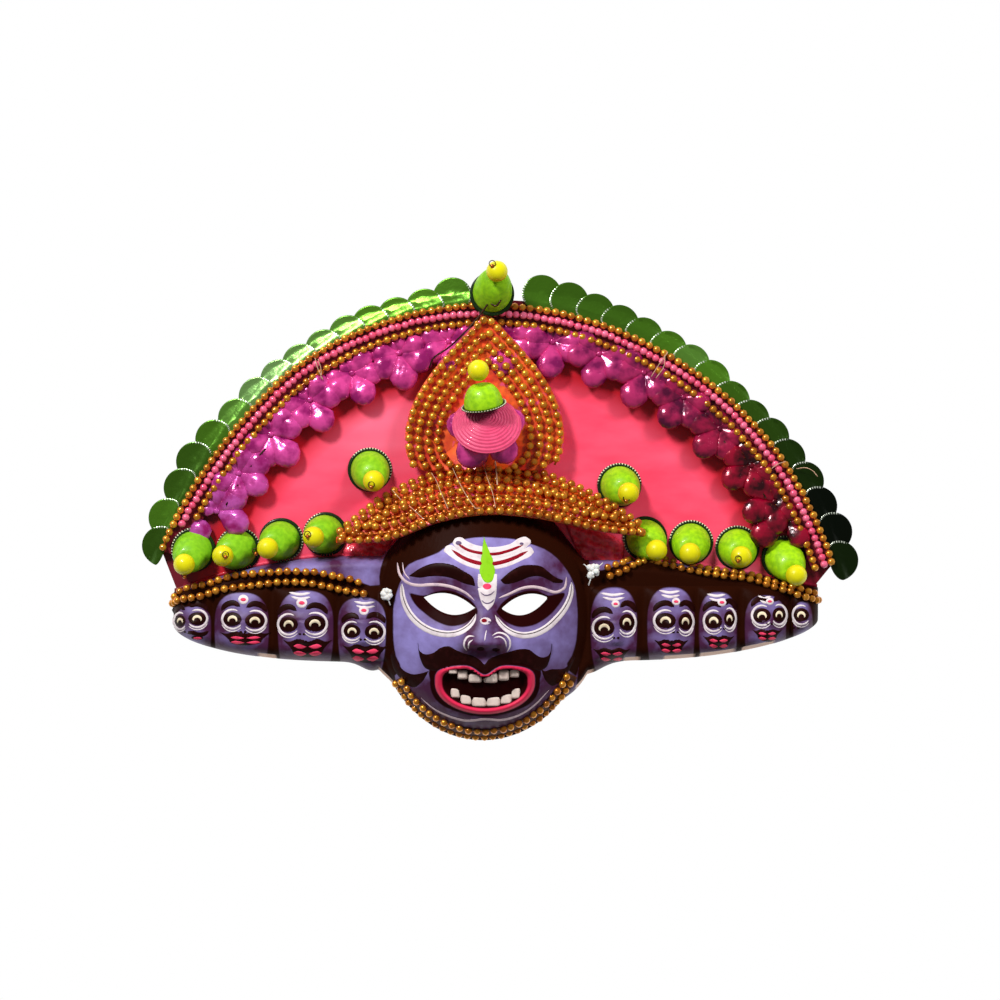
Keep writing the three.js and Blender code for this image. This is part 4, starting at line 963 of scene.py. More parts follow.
def head_lips(x, y, spread, height):
    """Moustache, black ground and four half lips, sized by the lips' spread and height."""
    size = 1.1 * spread / 7.6
    size = np.array([size, (size + 1) / 2 * min(height / 3.0, 1)])
    blacks.append(film(MOUSTACHE_TOP * size + (x, y), MOUSTACHE_FOOT * size + (x, y)))
    blacks.append(spot(x, y + 0.6, 2.05 * spread, 2.3 * height))
    for across in (-1, 1):
        for down in (-1, 1):
            middle = (x + across * spread, y + down * height)
            turned = np.array([-across * spread, 1.15 * height])
            lips.append(film(LIP_TOP * turned + middle, LIP_FOOT * turned + middle, lift=0.45))


whites, blacks, lips, pinks, creams = [], [], [], [], []
for head in SMALL_HEADS:
    for eye, mirror in zip(head["eyes"], (1, -1)):
        head_eye(*eye, mirror)
    if "dot" in head:
        x, y, half = head["dot"]
        whites.append(spot(x, y, half, half, lift=0.35))
        pinks.append(spot(x, y, 0.55 * half, 0.55 * half, lift=0.7))
    if "strokes" in head:
        start, end, level = head["strokes"]
        middle = (start + end) / 2
        for drop, sag in ((0, 2.0), (4.2, 2.2)):
            line = [(start + drop / 2, level + drop), (middle, level + drop + sag)]
            whites.append(stroke([*line, (end, level + drop + 0.4)], 3.0, 0.4))
    nose_x, nose_y = head["nose"]
    blacks += [spot(nose_x + side, nose_y, 1.5, 1.3) for side in (-2.2, 2.2)]
    if "lips" in head:
        head_lips(*head["lips"])
# The first head is cut off by the shell's end, with half of its moustache and one lip left.
blacks.append(stroke([(187, 633.6), (192.5, 632.6), (198, 634.6), (204, 634), (208.5, 631)], 5.2, 0.4))
blacks.append(spot(197.2, 637.8, 6, 3))
lips.append(spot(197.4, 638.2, 4.4, 1.6, lift=0.45))
cream_paint = poster_paint("cream_poster_paint", "#ecdcbc", "#ccb494")
for name, films, paint in (
    ("black", blacks, black_paint),
    ("white", whites, white_paint),
    ("lips", lips, pink_paint),
    ("dots", pinks, pink_paint),
    ("eye_glints", creams, cream_paint),
):
    make_piece(f"small_heads_{name}", films, paint)


# Fan: one board cut to most of a half circle, painted hot pink, with painted shade in darker red
# towards the rim band. The board and its band are the CAD piece, here under its brushed poster paint.
ARCH = np.array([-1.7, -126.8])
brushed = {"Roughness": 0.45, "Specular_IOR_Level": 0.3, "Coat_Weight": 0.1}
fan_paint, fan_shader = new_material("pink_poster_paint", **brushed)
place = add(fan_paint, "TexCoord", {}, "Object")
arch_middle = (ARCH[0] * MM, ARCH[1] * MM, 0.008)
radius = add(fan_paint, "VectorMath", {0: place, 1: arch_middle}, "Value", operation="DISTANCE")
stretched = add(fan_paint, "Mapping", {"Vector": place, "Scale": (9.0, 26.0, 9.0), "Rotation": (0, 0, 0.5)})
strokes = add(fan_paint, "TexNoise", {"Vector": stretched, "Scale": 1.6, "Detail": 5.0})
broad = add(fan_paint, "TexNoise", {"Vector": stretched, "Scale": 0.55, "Detail": 2.0})
streak = add(fan_paint, "MapRange", {"Value": strokes, "From Min": 0.3, "From Max": 0.7})
pale = add(fan_paint, "MapRange", {"Value": broad, "From Min": 0.52, "From Max": 0.7, "To Max": 0.5})
coats = [(streak, "#ff5a78"), (pale, "#ff86a4")]
# Radii in metres between which each darker coat sets in, all painted shade: the petals' shadow, the shade
# along the inner string, and the rim band between the beads.
for start, end, coat in ((0.222, 0.24, "#cc1226"), (0.258, 0.268, "#8c1230"), (0.2705, 0.2725, "#741024")):
    share = add(fan_paint, "MapRange", {"Value": radius, "From Min": start, "From Max": end})
    coats.append((share, coat))
bump = add(fan_paint, "Bump", {"Height": strokes, "Strength": 0.3, "Distance": 0.001})
plug(fan_shader, {"Base Color": painted(fan_paint, "#f83c5c", coats), "Normal": bump})
fan_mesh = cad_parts["fan_board"].data
fan_mesh.materials.clear()
fan_mesh.materials.append(fan_paint)


# Bead strings: three rows along the fan's rim, sewn on in long loops. The beads are plastic, gold by
# a thin metal coat or pink with a pearl shine, and hide the thread that they are strung on.
def closed_rings(rings, **values):
    """A closed skin over rings (count, around, 3), each end closed by a point at its ring's middle."""
    count, around = rings.shape[:2]
    k = np.arange(around)
    after = (k + 1) % around
    first, last = count * around, count * around + 1
    tail = (count - 1) * around
    first_end = np.stack([np.full(around, first), k, after], -1)
    last_end = np.stack([np.full(around, last), tail + after, tail + k], -1)
    points = np.concatenate([rings.reshape(-1, 3), rings[:1].mean(1), rings[-1:].mean(1)])
    part = {"points": points, "faces": [grid_faces(count, around, wrap=True), first_end, last_end]}
    for key, value in values.items():
        flat = np.broadcast_to(value, (count, around)).reshape(-1)
        part[key] = np.concatenate([flat, flat[:1], flat[-1:]])
    return part


def ball_shape(around, down, squash=1.0):
    """A ball of radius 1 from rings of points, down from its top."""
    polar = np.linspace(0, np.pi, down + 2)[1:-1, None]
    turn = np.arange(around) * 2 * np.pi / around
    ring = [np.sin(polar) * np.cos(turn), np.sin(polar) * np.sin(turn), squash * np.cos(polar) + 0 * turn]
    return closed_rings(np.stack(ring, -1))


def tube(path, radius, sides=6):
    """A round closed tube along a path; radius is one number or one for every point of it."""
    path = np.asarray(path, float)
    ahead = np.gradient(path, axis=0)
    ahead /= np.linalg.norm(ahead, axis=1, keepdims=True)
    side = np.cross(ahead, (0.12, 0.07, 1.0))
    side /= np.linalg.norm(side, axis=1, keepdims=True)
    lift = np.cross(side, ahead)
    turn = (np.arange(sides) * 2 * np.pi / sides)[None, :, None]
    reach = np.broadcast_to(radius, len(path))[:, None, None]
    ring = np.cos(turn) * side[:, None] + np.sin(turn) * lift[:, None]
    return closed_rings(path[:, None] + reach * ring)


def evenly(line, pitch):
    """Points a pitch apart along a line."""
    along = np.concatenate([[0], np.cumsum(np.linalg.norm(np.diff(line, axis=0), axis=1))])
    stops = np.arange(pitch / 2, along[-1] - pitch / 4, pitch)
    return np.stack([np.interp(stops, along, line[:, k]) for k in range(3)], -1)


def repeated(part, places, sizes, turns=None, **values):
    """Copies of one small part: scaled by sizes, turned by 3x3 turns, moved to places."""
    shape = np.broadcast_to(part["points"], (len(places), *part["points"].shape))
    if turns is not None:
        shape = np.einsum("kij,knj->kni", turns, shape)
    spread = places[:, None] + shape * np.reshape(sizes, (-1, 1, 1))
    shift = (np.arange(len(places)) * len(part["points"]))[:, None, None]
    faces = [(block[None] + shift).reshape(-1, block.shape[1]) for block in part["faces"]]
    copies = {"points": spread.reshape(-1, 3), "faces": faces}
    for key, value in values.items():
        copies[key] = np.repeat(value, len(part["points"]))
    return copies


chance = np.random.default_rng(10)
BEAD = ball_shape(8, 5)


def beads_along(lines, pitch, size, slip=0.25, thread=0.35, tone=0.25):
    """Threaded beads along lines, each a little out of place and size, and the thread in them."""
    places = np.concatenate([evenly(line, pitch) for line in lines])
    places = places + chance.normal(0, slip, places.shape)
    sizes = size / 2 * chance.normal(1, 0.03, len(places)).clip(0.93, 1.07)
    beads = repeated(BEAD, places, sizes, tint=tone + 0.5 * chance.random(len(places)))
    return [beads, *(tube(evenly(line, 4), thread, 5) for line in lines)]


def bead_material(name, low, high, metallic, roughness):
    """A bead's smooth coat: each bead has its own tint, from the low colour to the high one."""
    made, shader = new_material(name, Metallic=metallic, Roughness=roughness, Coat_Weight=0.4)
    tint = add(made, "Attribute", {}, "Fac", attribute_name="tint")
    plug(shader, {"Base Color": painted(made, low, [(tint, high)])})
    return made


gold = bead_material("gold_coated_beads", "#a85208", "#ffb238", metallic=0.65, roughness=0.32)
pearl_pink = bead_material("pearl_pink_beads", "#dc2858", "#fa7ca0", metallic=0.1, roughness=0.3)
STRING_HEIGHT = 13.5
# The middle string's distance from the arch's middle by its angle, in degrees and mm.
STRING_ROUTE = [
    (13.5, 284.6), (22, 283), (40, 281.6), (65, 281), (80, 283), (95, 285.4), (110, 286.4),
    (125, 286.6), (138, 283.2), (148, 283.4), (158, 286.8), (166, 290),
]
route = line_through(STRING_ROUTE, 120)
STRING_BEAD = 6.6
for name, offset, right_end, left_end, pitch, material, slot in (
    ("outer", 6.8, 14.4, 163.4, 7.0, gold, "gold_beads"),
    ("pink", 0, 14.4, 159.0, 5.9, pearl_pink, "pink_beads"),
    ("inner", -7.9, 14.1, 157.6, 7.0, gold, "gold_beads"),
):
    turn = np.radians(np.linspace(right_end, left_end, 240))
    radius = np.interp(np.degrees(turn), *route.T) + offset
    bow = [ARCH[0] + radius * np.cos(turn), ARCH[1] + radius * np.sin(turn), STRING_HEIGHT + 0 * turn]
    parts = beads_along([np.stack(bow, -1)], pitch, STRING_BEAD, thread=1.1, tone=0.3)
    make_piece(f"{name}_bead_string", parts, material, [f"arch_beads_{name}"])


# Foil discs: thin green foil pressed into pleated discs, sewn under the strings so that they stand
# out past the fan's edge, each over the next one down. Crimps in their rims carry painted highlights.
BAND_TOP, FAN_EDGE = 10.4, 296.9
DISC_RADIUS, DISC_PLEATS, PLEAT_RISE, FOIL_THICKNESS = 16.8, 46, 0.28, 0.35
# How far the foil lies over the band, bends down past the edge, and slopes over its neighbour.
FOIL_RISE, FOIL_DROP, LAP_ON_FAN, LAP_OUTSIDE = 0.9, 4.6, 0.02, 0.13
# Each disc's angle on the arch and the radius that its rim reaches.
FOIL_LEFT = [(97.3, 318), (102, 312.5), (106.8, 311.5), (111.2, 312), (115.3, 312), (119.8, 310.6),
             (124.3, 310.6), (128.7, 311), (133.3, 311.8), (138.2, 311.6), (143.2, 315.2), (147.9, 318),
             (152.6, 316), (158, 317), (162.6, 314.3)]
FOIL_RIGHT = [(14.9, 314.3), (19.6, 316.6), (24.4, 313), (29, 312.4), (33.8, 309.2), (38.2, 308.5),
              (42.6, 305.6), (47.2, 305), (52, 307.6), (56.2, 308.3), (60.6, 308), (65.2, 308.8),
              (69.6, 310.8), (74, 313.4), (78.5, 317.5), (83, 320)]


def foil_disc(turn, tip, towards_apex, tint):
    """A pleated disc whose rim reaches a radius on the arch: flat on the fan's band, bent down past
    its edge, tilted so that it lies over the disc below."""
    reach = DISC_RADIUS * np.array([0.05, 0.3, 0.5, 0.65, 0.78, 0.87, 0.94, 1, 1, 0.7, 0.3])[:, None]
    under = np.array([0] * 8 + [1] * 3)[:, None]
    phi = np.arange(2 * DISC_PLEATS) * np.pi / DISC_PLEATS
    ridge = np.where(np.arange(2 * DISC_PLEATS) % 2, PLEAT_RISE, -PLEAT_RISE) * (reach / DISC_RADIUS) ** 1.5
    middle = tip - DISC_RADIUS
    inward = max((middle - np.interp(turn, *route.T) - 5) / DISC_RADIUS, 0.05)
    out = middle + reach * np.cos(phi) * np.where(np.cos(phi) < 0, inward, 1)
    across = reach * np.sin(phi)
    past_edge = smooth_step(out, FAN_EDGE - 0.5, FAN_EDGE + 8)
    lap = towards_apex * across * (LAP_ON_FAN + LAP_OUTSIDE * past_edge)
    height = BAND_TOP + FOIL_RISE - FOIL_DROP * past_edge + lap + ridge - FOIL_THICKNESS * under
    c, s = np.cos(np.radians(turn)), np.sin(np.radians(turn))
    rings = np.stack([ARCH[0] + out * c - across * s, ARCH[1] + out * s + across * c, height], -1)
    # Painted highlights: silver dots on the crests of the crimps, on the side towards the apex.
    apex_side = smooth_step(towards_apex * np.sin(phi), 0.7, 0.85)
    notch = (ridge > 0) * smooth_step(reach, 0.88 * DISC_RADIUS, 0.95 * DISC_RADIUS) * apex_side
    return closed_rings(rings, notch=notch, tint=tint)


# Green foil goes from pale over leaf green to near black by each disc's tint, which is painted reflection
# and shade: pale where a disc would shine, near black where it would not.
foil, foil_shader = new_material("pressed_green_foil", Metallic=0.65, Roughness=0.3)
place = add(foil, "TexCoord", {}, "Object")
crumple = add(foil, "TexNoise", {"Vector": place, "Scale": 240.0, "Detail": 3.0})
tint = add(foil, "Attribute", {}, "Fac", attribute_name="tint")
notch = add(foil, "Attribute", {}, "Fac", attribute_name="notch")
pale_to_leaf = add(foil, "MapRange", {"Value": tint, "From Max": 0.5})
leaf_to_dark = add(foil, "MapRange", {"Value": tint, "From Min": 0.5})
dots = add(foil, "MapRange", {"Value": notch, "From Min": 0.3, "From Max": 0.7})
coats = [(pale_to_leaf, "#5c9420"), (leaf_to_dark, "#060f03"), (dots, "#f0f8e6")]
bump = add(foil, "Bump", {"Height": crumple, "Strength": 0.3, "Distance": 0.001})
plug(foil_shader, {"Base Color": painted(foil, "#a4cc8c", coats), "Normal": bump})
# Painted reflection and shade of each disc, from 0 for pale and shining to 1 for near black, left then
# right.
LEFT_FOIL_SHADES = [0.55, 0.5, 0.5, 0.5, 0.45, 0.4, 0.35, 0.25, 0.3, 0.45, 0.6, 0.75, 0.75, 0.55, 0.8]
RIGHT_FOIL_SHADES = [0.97, 1, 1, 0.95, 0.92, 0.85, 0.8, 0.7, 0.5, 0.45, 0.55, 0.65, 0.7, 0.7, 0.7, 0.65]
for side, places, towards_apex, tints in (
    ("left", FOIL_LEFT, -1, LEFT_FOIL_SHADES),
    ("right", FOIL_RIGHT, 1, RIGHT_FOIL_SHADES),
):
    discs = [foil_disc(*place, towards_apex, tint) for place, tint in zip(places, tints)]
    make_piece(f"pleated_foil_{side}", discs, foil, [f"green_foil_{side}"])


# Petal flowers: puffed petals of thin magenta plastic foil round a stitched knot, in a tight row
# along the inner bead string, so that their inward petals stand out in threes.
KNOT_RADIUS, PETAL_BASE, PETAL_REACH = 265.0, 4.5, 22
PETAL_LENGTH, PETAL_WIDTH, PETAL_DEPTH = 14.6, 11.4, 6.0
PETAL_RISE, KNOT_RISE, KNOT_SIZE = 5.2, 7.5, 2.6
PETAL_LEFT = [99, 108.3, 117.7, 126.8, 136.3, 145.5, 153.5, 161]
PETAL_RIGHT = [88.7, 80, 71.2, 62.4, 53.9, 45.2, 36.4, 28.4, 24.0]
# Cup flowers at the fan's ends that would stand in petals: middles of cups and of their balls.
CUPS_OVER_PETALS = [
    (-258.5, -41.2), (-263.8, -52.9), (-221, -40.8), (-232, -45.8), (239.5, -48), (248, -62.2),
]
CUP_CLEARANCE = 21.0
PETAL_TURNS = [0, 60, -60, 108, -108, 155, -155]
PETAL_SIZES = [1.1, 0.98, 0.98, 0.86, 0.86, 0.45, 0.45]
PETAL_LIFTS = [0.14, 0.1, 0.1, 0.02, 0.02, -0.03, -0.03]


def turn_about(axis, angles):
    """3x3 turns by angles in radians about one axis: 0 for X, 1 for Y, 2 for Z."""
    turns = np.zeros((*np.shape(angles), 3, 3))
    i, j = (axis + 1) % 3, (axis + 2) % 3
    turns[..., axis, axis] = 1
    turns[..., i, i] = turns[..., j, j] = np.cos(angles)
    turns[..., i, j] = -np.sin(angles)
    turns[..., j, i] = np.sin(angles)
    return turns


def petal_flowers(angles, tints):
    """Teardrop petals, wide and round at their far end, spread round knots on an arc about the
    middle of the arch; the ones that point outwards are short and lie under the strings. A petal
    whose far half would lie where a cup flower stands is left out."""
    petal = ball_shape(14, 11)
    x, y, z = petal["points"].T
    pinch = 0.3 + 0.7 * smooth_step(x, -1, 0.3)
    crease = 1 - 0.1 * bell(y, 0.2) * (z > 0) * (x < 0.2)
    form = [PETAL_LENGTH * (x + 0.98), PETAL_WIDTH * y * pinch, PETAL_DEPTH * z * pinch * crease]
    petal["points"] = np.stack(form, -1)
    angles, count = np.radians(angles), len(PETAL_TURNS)
    knots = ARCH + KNOT_RADIUS * np.stack([np.cos(angles), np.sin(angles)], -1)
    turns = angles[:, None] + np.pi + np.radians(PETAL_TURNS) + chance.normal(0, 0.1, (len(angles), count))
    turns = turns.reshape(-1)
    tips = np.repeat(knots, count, 0) + PETAL_REACH * np.stack([np.cos(turns), np.sin(turns)], -1)
    apart = np.linalg.norm(tips[:, None] - np.array(CUPS_OVER_PETALS), axis=2).min(1)
    kept = apart > CUP_CLEARANCE
    height = PETAL_BASE + PETAL_RISE + chance.random(len(turns)) * 1.4
    places = at_level(np.repeat(knots, count, 0), height)
    lifts = np.tile(PETAL_LIFTS, len(angles)) + chance.normal(0, 0.05, len(turns))
    turned = turn_about(2, turns) @ turn_about(1, -lifts)
    sizes = np.tile(PETAL_SIZES, len(angles)) * chance.normal(1, 0.05, len(turns)).clip(0.9, 1.1)
    petals = repeated(petal, places[kept], sizes[kept], turned[kept], tint=np.repeat(tints, count)[kept])
    top = at_level(knots, PETAL_BASE + KNOT_RISE)
    return [petals, repeated(ball_shape(8, 5, 0.6), top, KNOT_SIZE, tint=tints)]


# Violet, pink and crimson by each flower's tint, which is painted light and shade along the arch, pink on
# the left and dark crimson on the right; darker as painted shade in the dents of the crumpled foil.
puffed = {"Metallic": 0.25, "Roughness": 0.22, "Coat_Weight": 0.4}
petal_foil, petal_shader = new_material("puffed_magenta_foil", **puffed)
place = add(petal_foil, "TexCoord", {}, "Object")
crumple = add(petal_foil, "TexNoise", {"Vector": place, "Scale": 75.0, "Detail": 3.0})
tint = add(petal_foil, "Attribute", {}, "Fac", attribute_name="tint")
to_pink = add(petal_foil, "MapRange", {"Value": tint, "From Max": 0.5})
to_crimson = add(petal_foil, "MapRange", {"Value": tint, "From Min": 0.5})
raised = add(petal_foil, "MapRange", {"Value": crumple, "From Min": 0.38, "From Max": 0.6})
bright = painted(petal_foil, "#c058b4", [(to_pink, "#e8489c"), (to_crimson, "#98042a")])
dents_in_shade = painted(petal_foil, "#9a1668", [(to_crimson, "#2c0008")])
bump = add(petal_foil, "Bump", {"Height": crumple, "Strength": 0.5, "Distance": 0.003})
plug(petal_shader, {"Base Color": painted(petal_foil, dents_in_shade, [(raised, bright)]), "Normal": bump})
# Each side's tints are painted light: pink and violet on the left, darker crimson to the right.
for side, turns, tints in (
    ("left", PETAL_LEFT, [0.5, 0.55, 0.5, 0.45, 0.4, 0.25, 0.1, 0.05]),
    ("right", PETAL_RIGHT, [0.6, 0.65, 0.75, 0.82, 0.9, 0.95, 1, 1, 1]),
):
    parts = petal_flowers(turns, np.array(tints))
    nodes = [f"petal_flower_{side}_{k}" for k in range(1, len(turns))]
    make_piece(f"petal_flowers_{side}", parts, petal_foil, nodes)


# Cup flowers: a ribbed plastic cup, mottled green, upside down on a crimped dark foil disc. Each
# leans towards the yellow ball that is wired on top of it.
CUP_HEIGHT, BALL_RADIUS, BALL_RISE = 19.0, 9.0, 28.4
CUP_SPAN, CRIMP_SPAN, CRIMPS, RIBS, RIB_DEPTH, CUP_FOOT = 16.4, 18.7, 46, 22, 0.045, 1.1
# Where a disc's crimps carry painted highlights: the way they face, in degrees, and the least cosine to it.
SHINE_UP = (90, -0.1)
SHINE = {
    "left_cup_1": (165, -0.2),
    "left_cup_3": (-35, 0.1),
    "left_cup_4": (150, 0.5),
    "field_cup_1": (60, -0.1),
    "right_cup_1": (170, 0.4),
    "right_cup_4": (80, 0.5),
    "top_cup": (90, 1.0),
}
# Middle of each cup, height of what it stands on, and middle of its ball.
ON_FAN, ON_BAND, ON_TOP = 4.4, 10.4, 22.4
CUP_FLOWERS = {
    "left_cup_1": (-258.5, -41.2, ON_BAND, -263.8, -52.9),
    "left_cup_2": (-221, -40.8, ON_FAN, -232, -45.8),
    "left_cup_3": (-184.8, -33, ON_FAN, -194.5, -39.5),
    "left_cup_4": (-147.5, -28, ON_FAN, -156.2, -30.2),
    "field_cup_1": (-110, 26.5, ON_FAN, -105.8, 16.8),
    "field_cup_2": (100.8, 13.4, ON_FAN, 107.5, 6.7),
    "right_cup_1": (122.5, -31.5, ON_FAN, 131, -41.2),
    "right_cup_2": (161.5, -34.8, ON_FAN, 159, -43.8),
    "right_cup_3": (200.5, -39.4, ON_FAN, 202, -46.6),
    "right_cup_4": (239.5, -48, ON_FAN, 248, -62.2),
    "top_cup": (-6.7, 173.9, ON_TOP, -2.5, 191.1),
}


def turned_rings(profile, around, wave=0.0, waves=0, zigzag=None):
    """Rings of a turned form from (radius, height) pairs, top ring first; wave swells the radius
    in ribs, zigzag lifts every other point of a ring by its own height."""
    profile = np.asarray(profile, float)
    turn = np.arange(around) * 2 * np.pi / around
    swell = 1 + wave * np.abs(np.cos(turn * waves / 2)) - wave
    reach = profile[:, :1] * swell
    height = profile[:, 1:2] + 0 * turn
    if zigzag is not None:
        height = height + np.asarray(zigzag)[:, None] * np.where(np.arange(around) % 2, 1, -1)
    return np.stack([reach * np.cos(turn), reach * np.sin(turn), height], -1)


def crimped_disc(radius, face, least):
    """A thin foil disc with a zigzag rim that is turned up a little. The crimps carry painted
    highlights where the cosine of their angle to the way they face is above a least value."""
    top = [(0.3 * radius, 1.0), (0.8 * radius, 1.0), (0.9 * radius, 1.1), (radius, 1.4)]
    bottom = [(radius, 1.0), (0.9 * radius, 0.7), (0.5 * radius, 0.6)]
    rings = turned_rings(top + bottom, 2 * CRIMPS, zigzag=[0, 0, 0.3, 0.55, 0.55, 0.3, 0])
    turned = np.cos(np.arange(2 * CRIMPS) * np.pi / CRIMPS - np.radians(face))
    shines = (np.arange(2 * CRIMPS) % 2) * smooth_step(turned, least, least + 0.3)
    silver = np.array([0, 0, 0.3, 1, 1, 0, 0])[:, None] * shines
    return closed_rings(rings, silver=silver, foil=1.0)


def ribbed_cup(tint):
    """A ribbed bell with a dimple in its top, standing on its wide rim."""
    profile = [(0.06, 0.93), (0.22, 0.97), (0.4, 1.0), (0.56, 0.95), (0.7, 0.84), (0.83, 0.66)]
    profile += [(0.93, 0.44), (0.98, 0.24), (1.0, 0.08), (0.99, 0.0), (0.7, 0.0)]
    scaled = [(r * CUP_SPAN, CUP_FOOT + z * (CUP_HEIGHT - CUP_FOOT)) for r, z in profile]
    return closed_rings(turned_rings(scaled, 2 * RIBS, wave=RIB_DEPTH, waves=2 * RIBS), tint=tint)


def lean(part, slope):
    """Shears a part sideways by its height times a slope in X and Y."""
    moved = dict(part)
    moved["points"] = part["points"] + part["points"][:, 2:] * np.array([*slope, 0.0])
    return moved


def shift(part, place):
    """A part moved to a place."""
    return {**part, "points": part["points"] + np.asarray(place, float)}


# Moulded plastic, the cups' dye mottled and the balls' even. The foil disc under a cup is dark, and
# its crimps carry painted highlights in silver where they face the light.
satin = {"Roughness": 0.4, "Specular_IOR_Level": 0.25, "Coat_Weight": 0.12}
green, green_shader = new_material("mottled_green_plastic", **satin)
place = add(green, "TexCoord", {}, "Object")
mottle = add(green, "TexNoise", {"Vector": place, "Scale": 260.0, "Detail": 4.0})
tint, dark_foil, silver = (
    add(green, "Attribute", {}, "Fac", attribute_name=key) for key in ("tint", "foil", "silver")
)
fresh = painted(green, "#84c420", [(tint, "#a8dc10")])
spread = add(green, "MapRange", {"Value": mottle, "From Min": 0.36, "From Max": 0.64})
weak = add(green, "Math", {0: spread, 1: 0.5, 2: 0.5}, operation="MULTIPLY_ADD")
glint_ticks = add(green, "MapRange", {"Value": silver, "From Min": 0.35, "From Max": 0.75})
colour = painted(green, "#5c9c14", [(weak, fresh), (dark_foil, "#142a08"), (glint_ticks, "#ecebc4")])
bump = add(green, "Bump", {"Height": mottle, "Strength": 0.3, "Distance": 0.001})
plug(green_shader, {"Base Color": colour, "Normal": bump})
yellow_gloss = {"Roughness": 0.36, "Specular_IOR_Level": 0.3, "Coat_Weight": 0.15}
yellow = new_material("yellow_plastic", Base_Color=linear("#dcd40a"), **yellow_gloss)[0]

DISC_SINK = 0.55
for node, (x, y, base, ball_x, ball_y) in CUP_FLOWERS.items():
    slope = ((ball_x - x) / BALL_RISE, (ball_y - y) / BALL_RISE)
    disc = crimped_disc(CRIMP_SPAN, *SHINE.get(node, SHINE_UP))
    disc = shift(disc, (x, y, base - DISC_SINK))
    left_to_right = (x + 270) / 540
    cup = shift(lean(ribbed_cup(left_to_right), slope), (x, y, base))
    make_piece(f"ribbed_{node}", [disc, cup], green, [node])
    ball = repeated(ball_shape(20, 13), np.array([[ball_x, ball_y, base + BALL_RISE]]), BALL_RADIUS)
    ball_node = node.replace("cup", "ball")
    make_piece(f"round_{ball_node}", [ball], yellow, [ball_node])


# Crest: a teardrop of card behind the brow, sewn over with nested rows of gold beads round a bare
# middle that holds the big flower.
CREST_BASE, CREST_CARD = 17.0, 1.4
# The card's outline as cubic curves, and the shorter one that the bead rows follow inwards.
CREST_CURVES = [
    [(-64, 25.5), (-74, 31.5), (-79.8, 32), (-79.8, 52)],
    [(-79.8, 52), (-79.8, 94), (-40.9, 127.2), (-10.9, 159.2)],
    [(-10.9, 159.2), (19.1, 127.2), (53.8, 96), (53.8, 54)],
    [(53.8, 54), (53.8, 34), (42, 31.5), (32, 25.5)],
]
ROW_CURVES = [[(-12, -4), (-50, -4), (-79.8, 16), (-79.8, 52)], *CREST_CURVES[1:3]]
ROW_CURVES += [[(53.8, 54), (53.8, 16), (26, -4), (-12, -4)]]
CREST_ROWS, FIRST_ROW, ROW_STEP, ROW_FOOT, ROW_RISE = 4, 3.2, 8.2, 26.5, 2.9
ROW_PITCH, ROW_BEAD = 7.5, 6.9
CREST_HEART = np.array([-12.0, 68.0])


def bezier(corners, count):
    """A cubic curve by its four control points, without its last point."""
    t = np.linspace(0, 1, count, endpoint=False)[:, None]
    a, b, c, d = np.asarray(corners, float)
    return (1 - t) ** 3 * a + 3 * (1 - t) ** 2 * t * b + 3 * (1 - t) * t**2 * c + t**3 * d


def inward(outline, depth):
    """An open outline moved sideways by a depth, without what would come nearer to it than that."""
    moved = outline - depth * sideways(outline)
    gaps = np.linalg.norm(moved[:, None] - outline[None], axis=2).min(1)
    return moved[gaps > depth - 0.05]


crest_edge = np.concatenate([bezier(curve, 48) for curve in CREST_CURVES])
crest_edge = np.concatenate([crest_edge, [CREST_CURVES[-1][-1]]])
# The card is drawn from its outline inwards to a point, and closed where the outline closes.
share = np.linspace(0, 1, 28)[:, None, None]
sheet = CREST_HEART + (crest_edge - CREST_HEART) * (1 - share * 0.999)
sheet = np.concatenate([sheet, sheet[:, :1]], 1)
top = at_level(sheet, CREST_BASE + CREST_CARD)
# Red poster paint on card, worn to orange, with a few pink specks.
card, card_shader = new_material("red_painted_card", Roughness=0.5, Coat_Weight=0.3)
place = add(card, "TexCoord", {}, "Object")
worn = add(card, "TexNoise", {"Vector": place, "Scale": 70.0, "Detail": 4.0})
worn = add(card, "MapRange", {"Value": worn, "From Min": 0.38, "From Max": 0.62})
specks = add(card, "TexNoise", {"Vector": place, "Scale": 130.0, "Detail": 2.0})
specks = add(card, "MapRange", {"Value": specks, "From Min": 0.6, "From Max": 0.66})
plug(card_shader, {"Base Color": painted(card, "#d0280c", [(worn, "#ff6c20"), (specks, "#f4507c")])})
make_piece("crest_card", [slab(top, top - (0, 0, CREST_CARD))], card)
row_edge = np.concatenate([bezier(curve, 48) for curve in ROW_CURVES] + [[ROW_CURVES[0][0]]])
rows = []
for k in range(CREST_ROWS):
    line = inward(row_edge, FIRST_ROW + ROW_STEP * k)
    line = line[line[:, 1] > ROW_FOOT]
    rows.append(at_level(line, CREST_BASE + CREST_CARD + ROW_RISE))
parts = beads_along(rows, ROW_PITCH, ROW_BEAD, thread=1.0, tone=0.4)
make_piece("crest_bead_rows", parts, gold, ["crest_board"])


# Brim: a crescent of card that stands out over the forehead, sewn with rows of the same beads that
# follow its two edges and meet along its middle.
BRIM_MIDDLE, BRIM_LEFT, BRIM_RIGHT = -14.0, -138.0, 122.0
BRIM_FRONT, BRIM_RISE, BRIM_FOOT, BRIM_CARD, BRIM_SWELL = 51.0, 27.0, 10.5, 1.6, 3.2
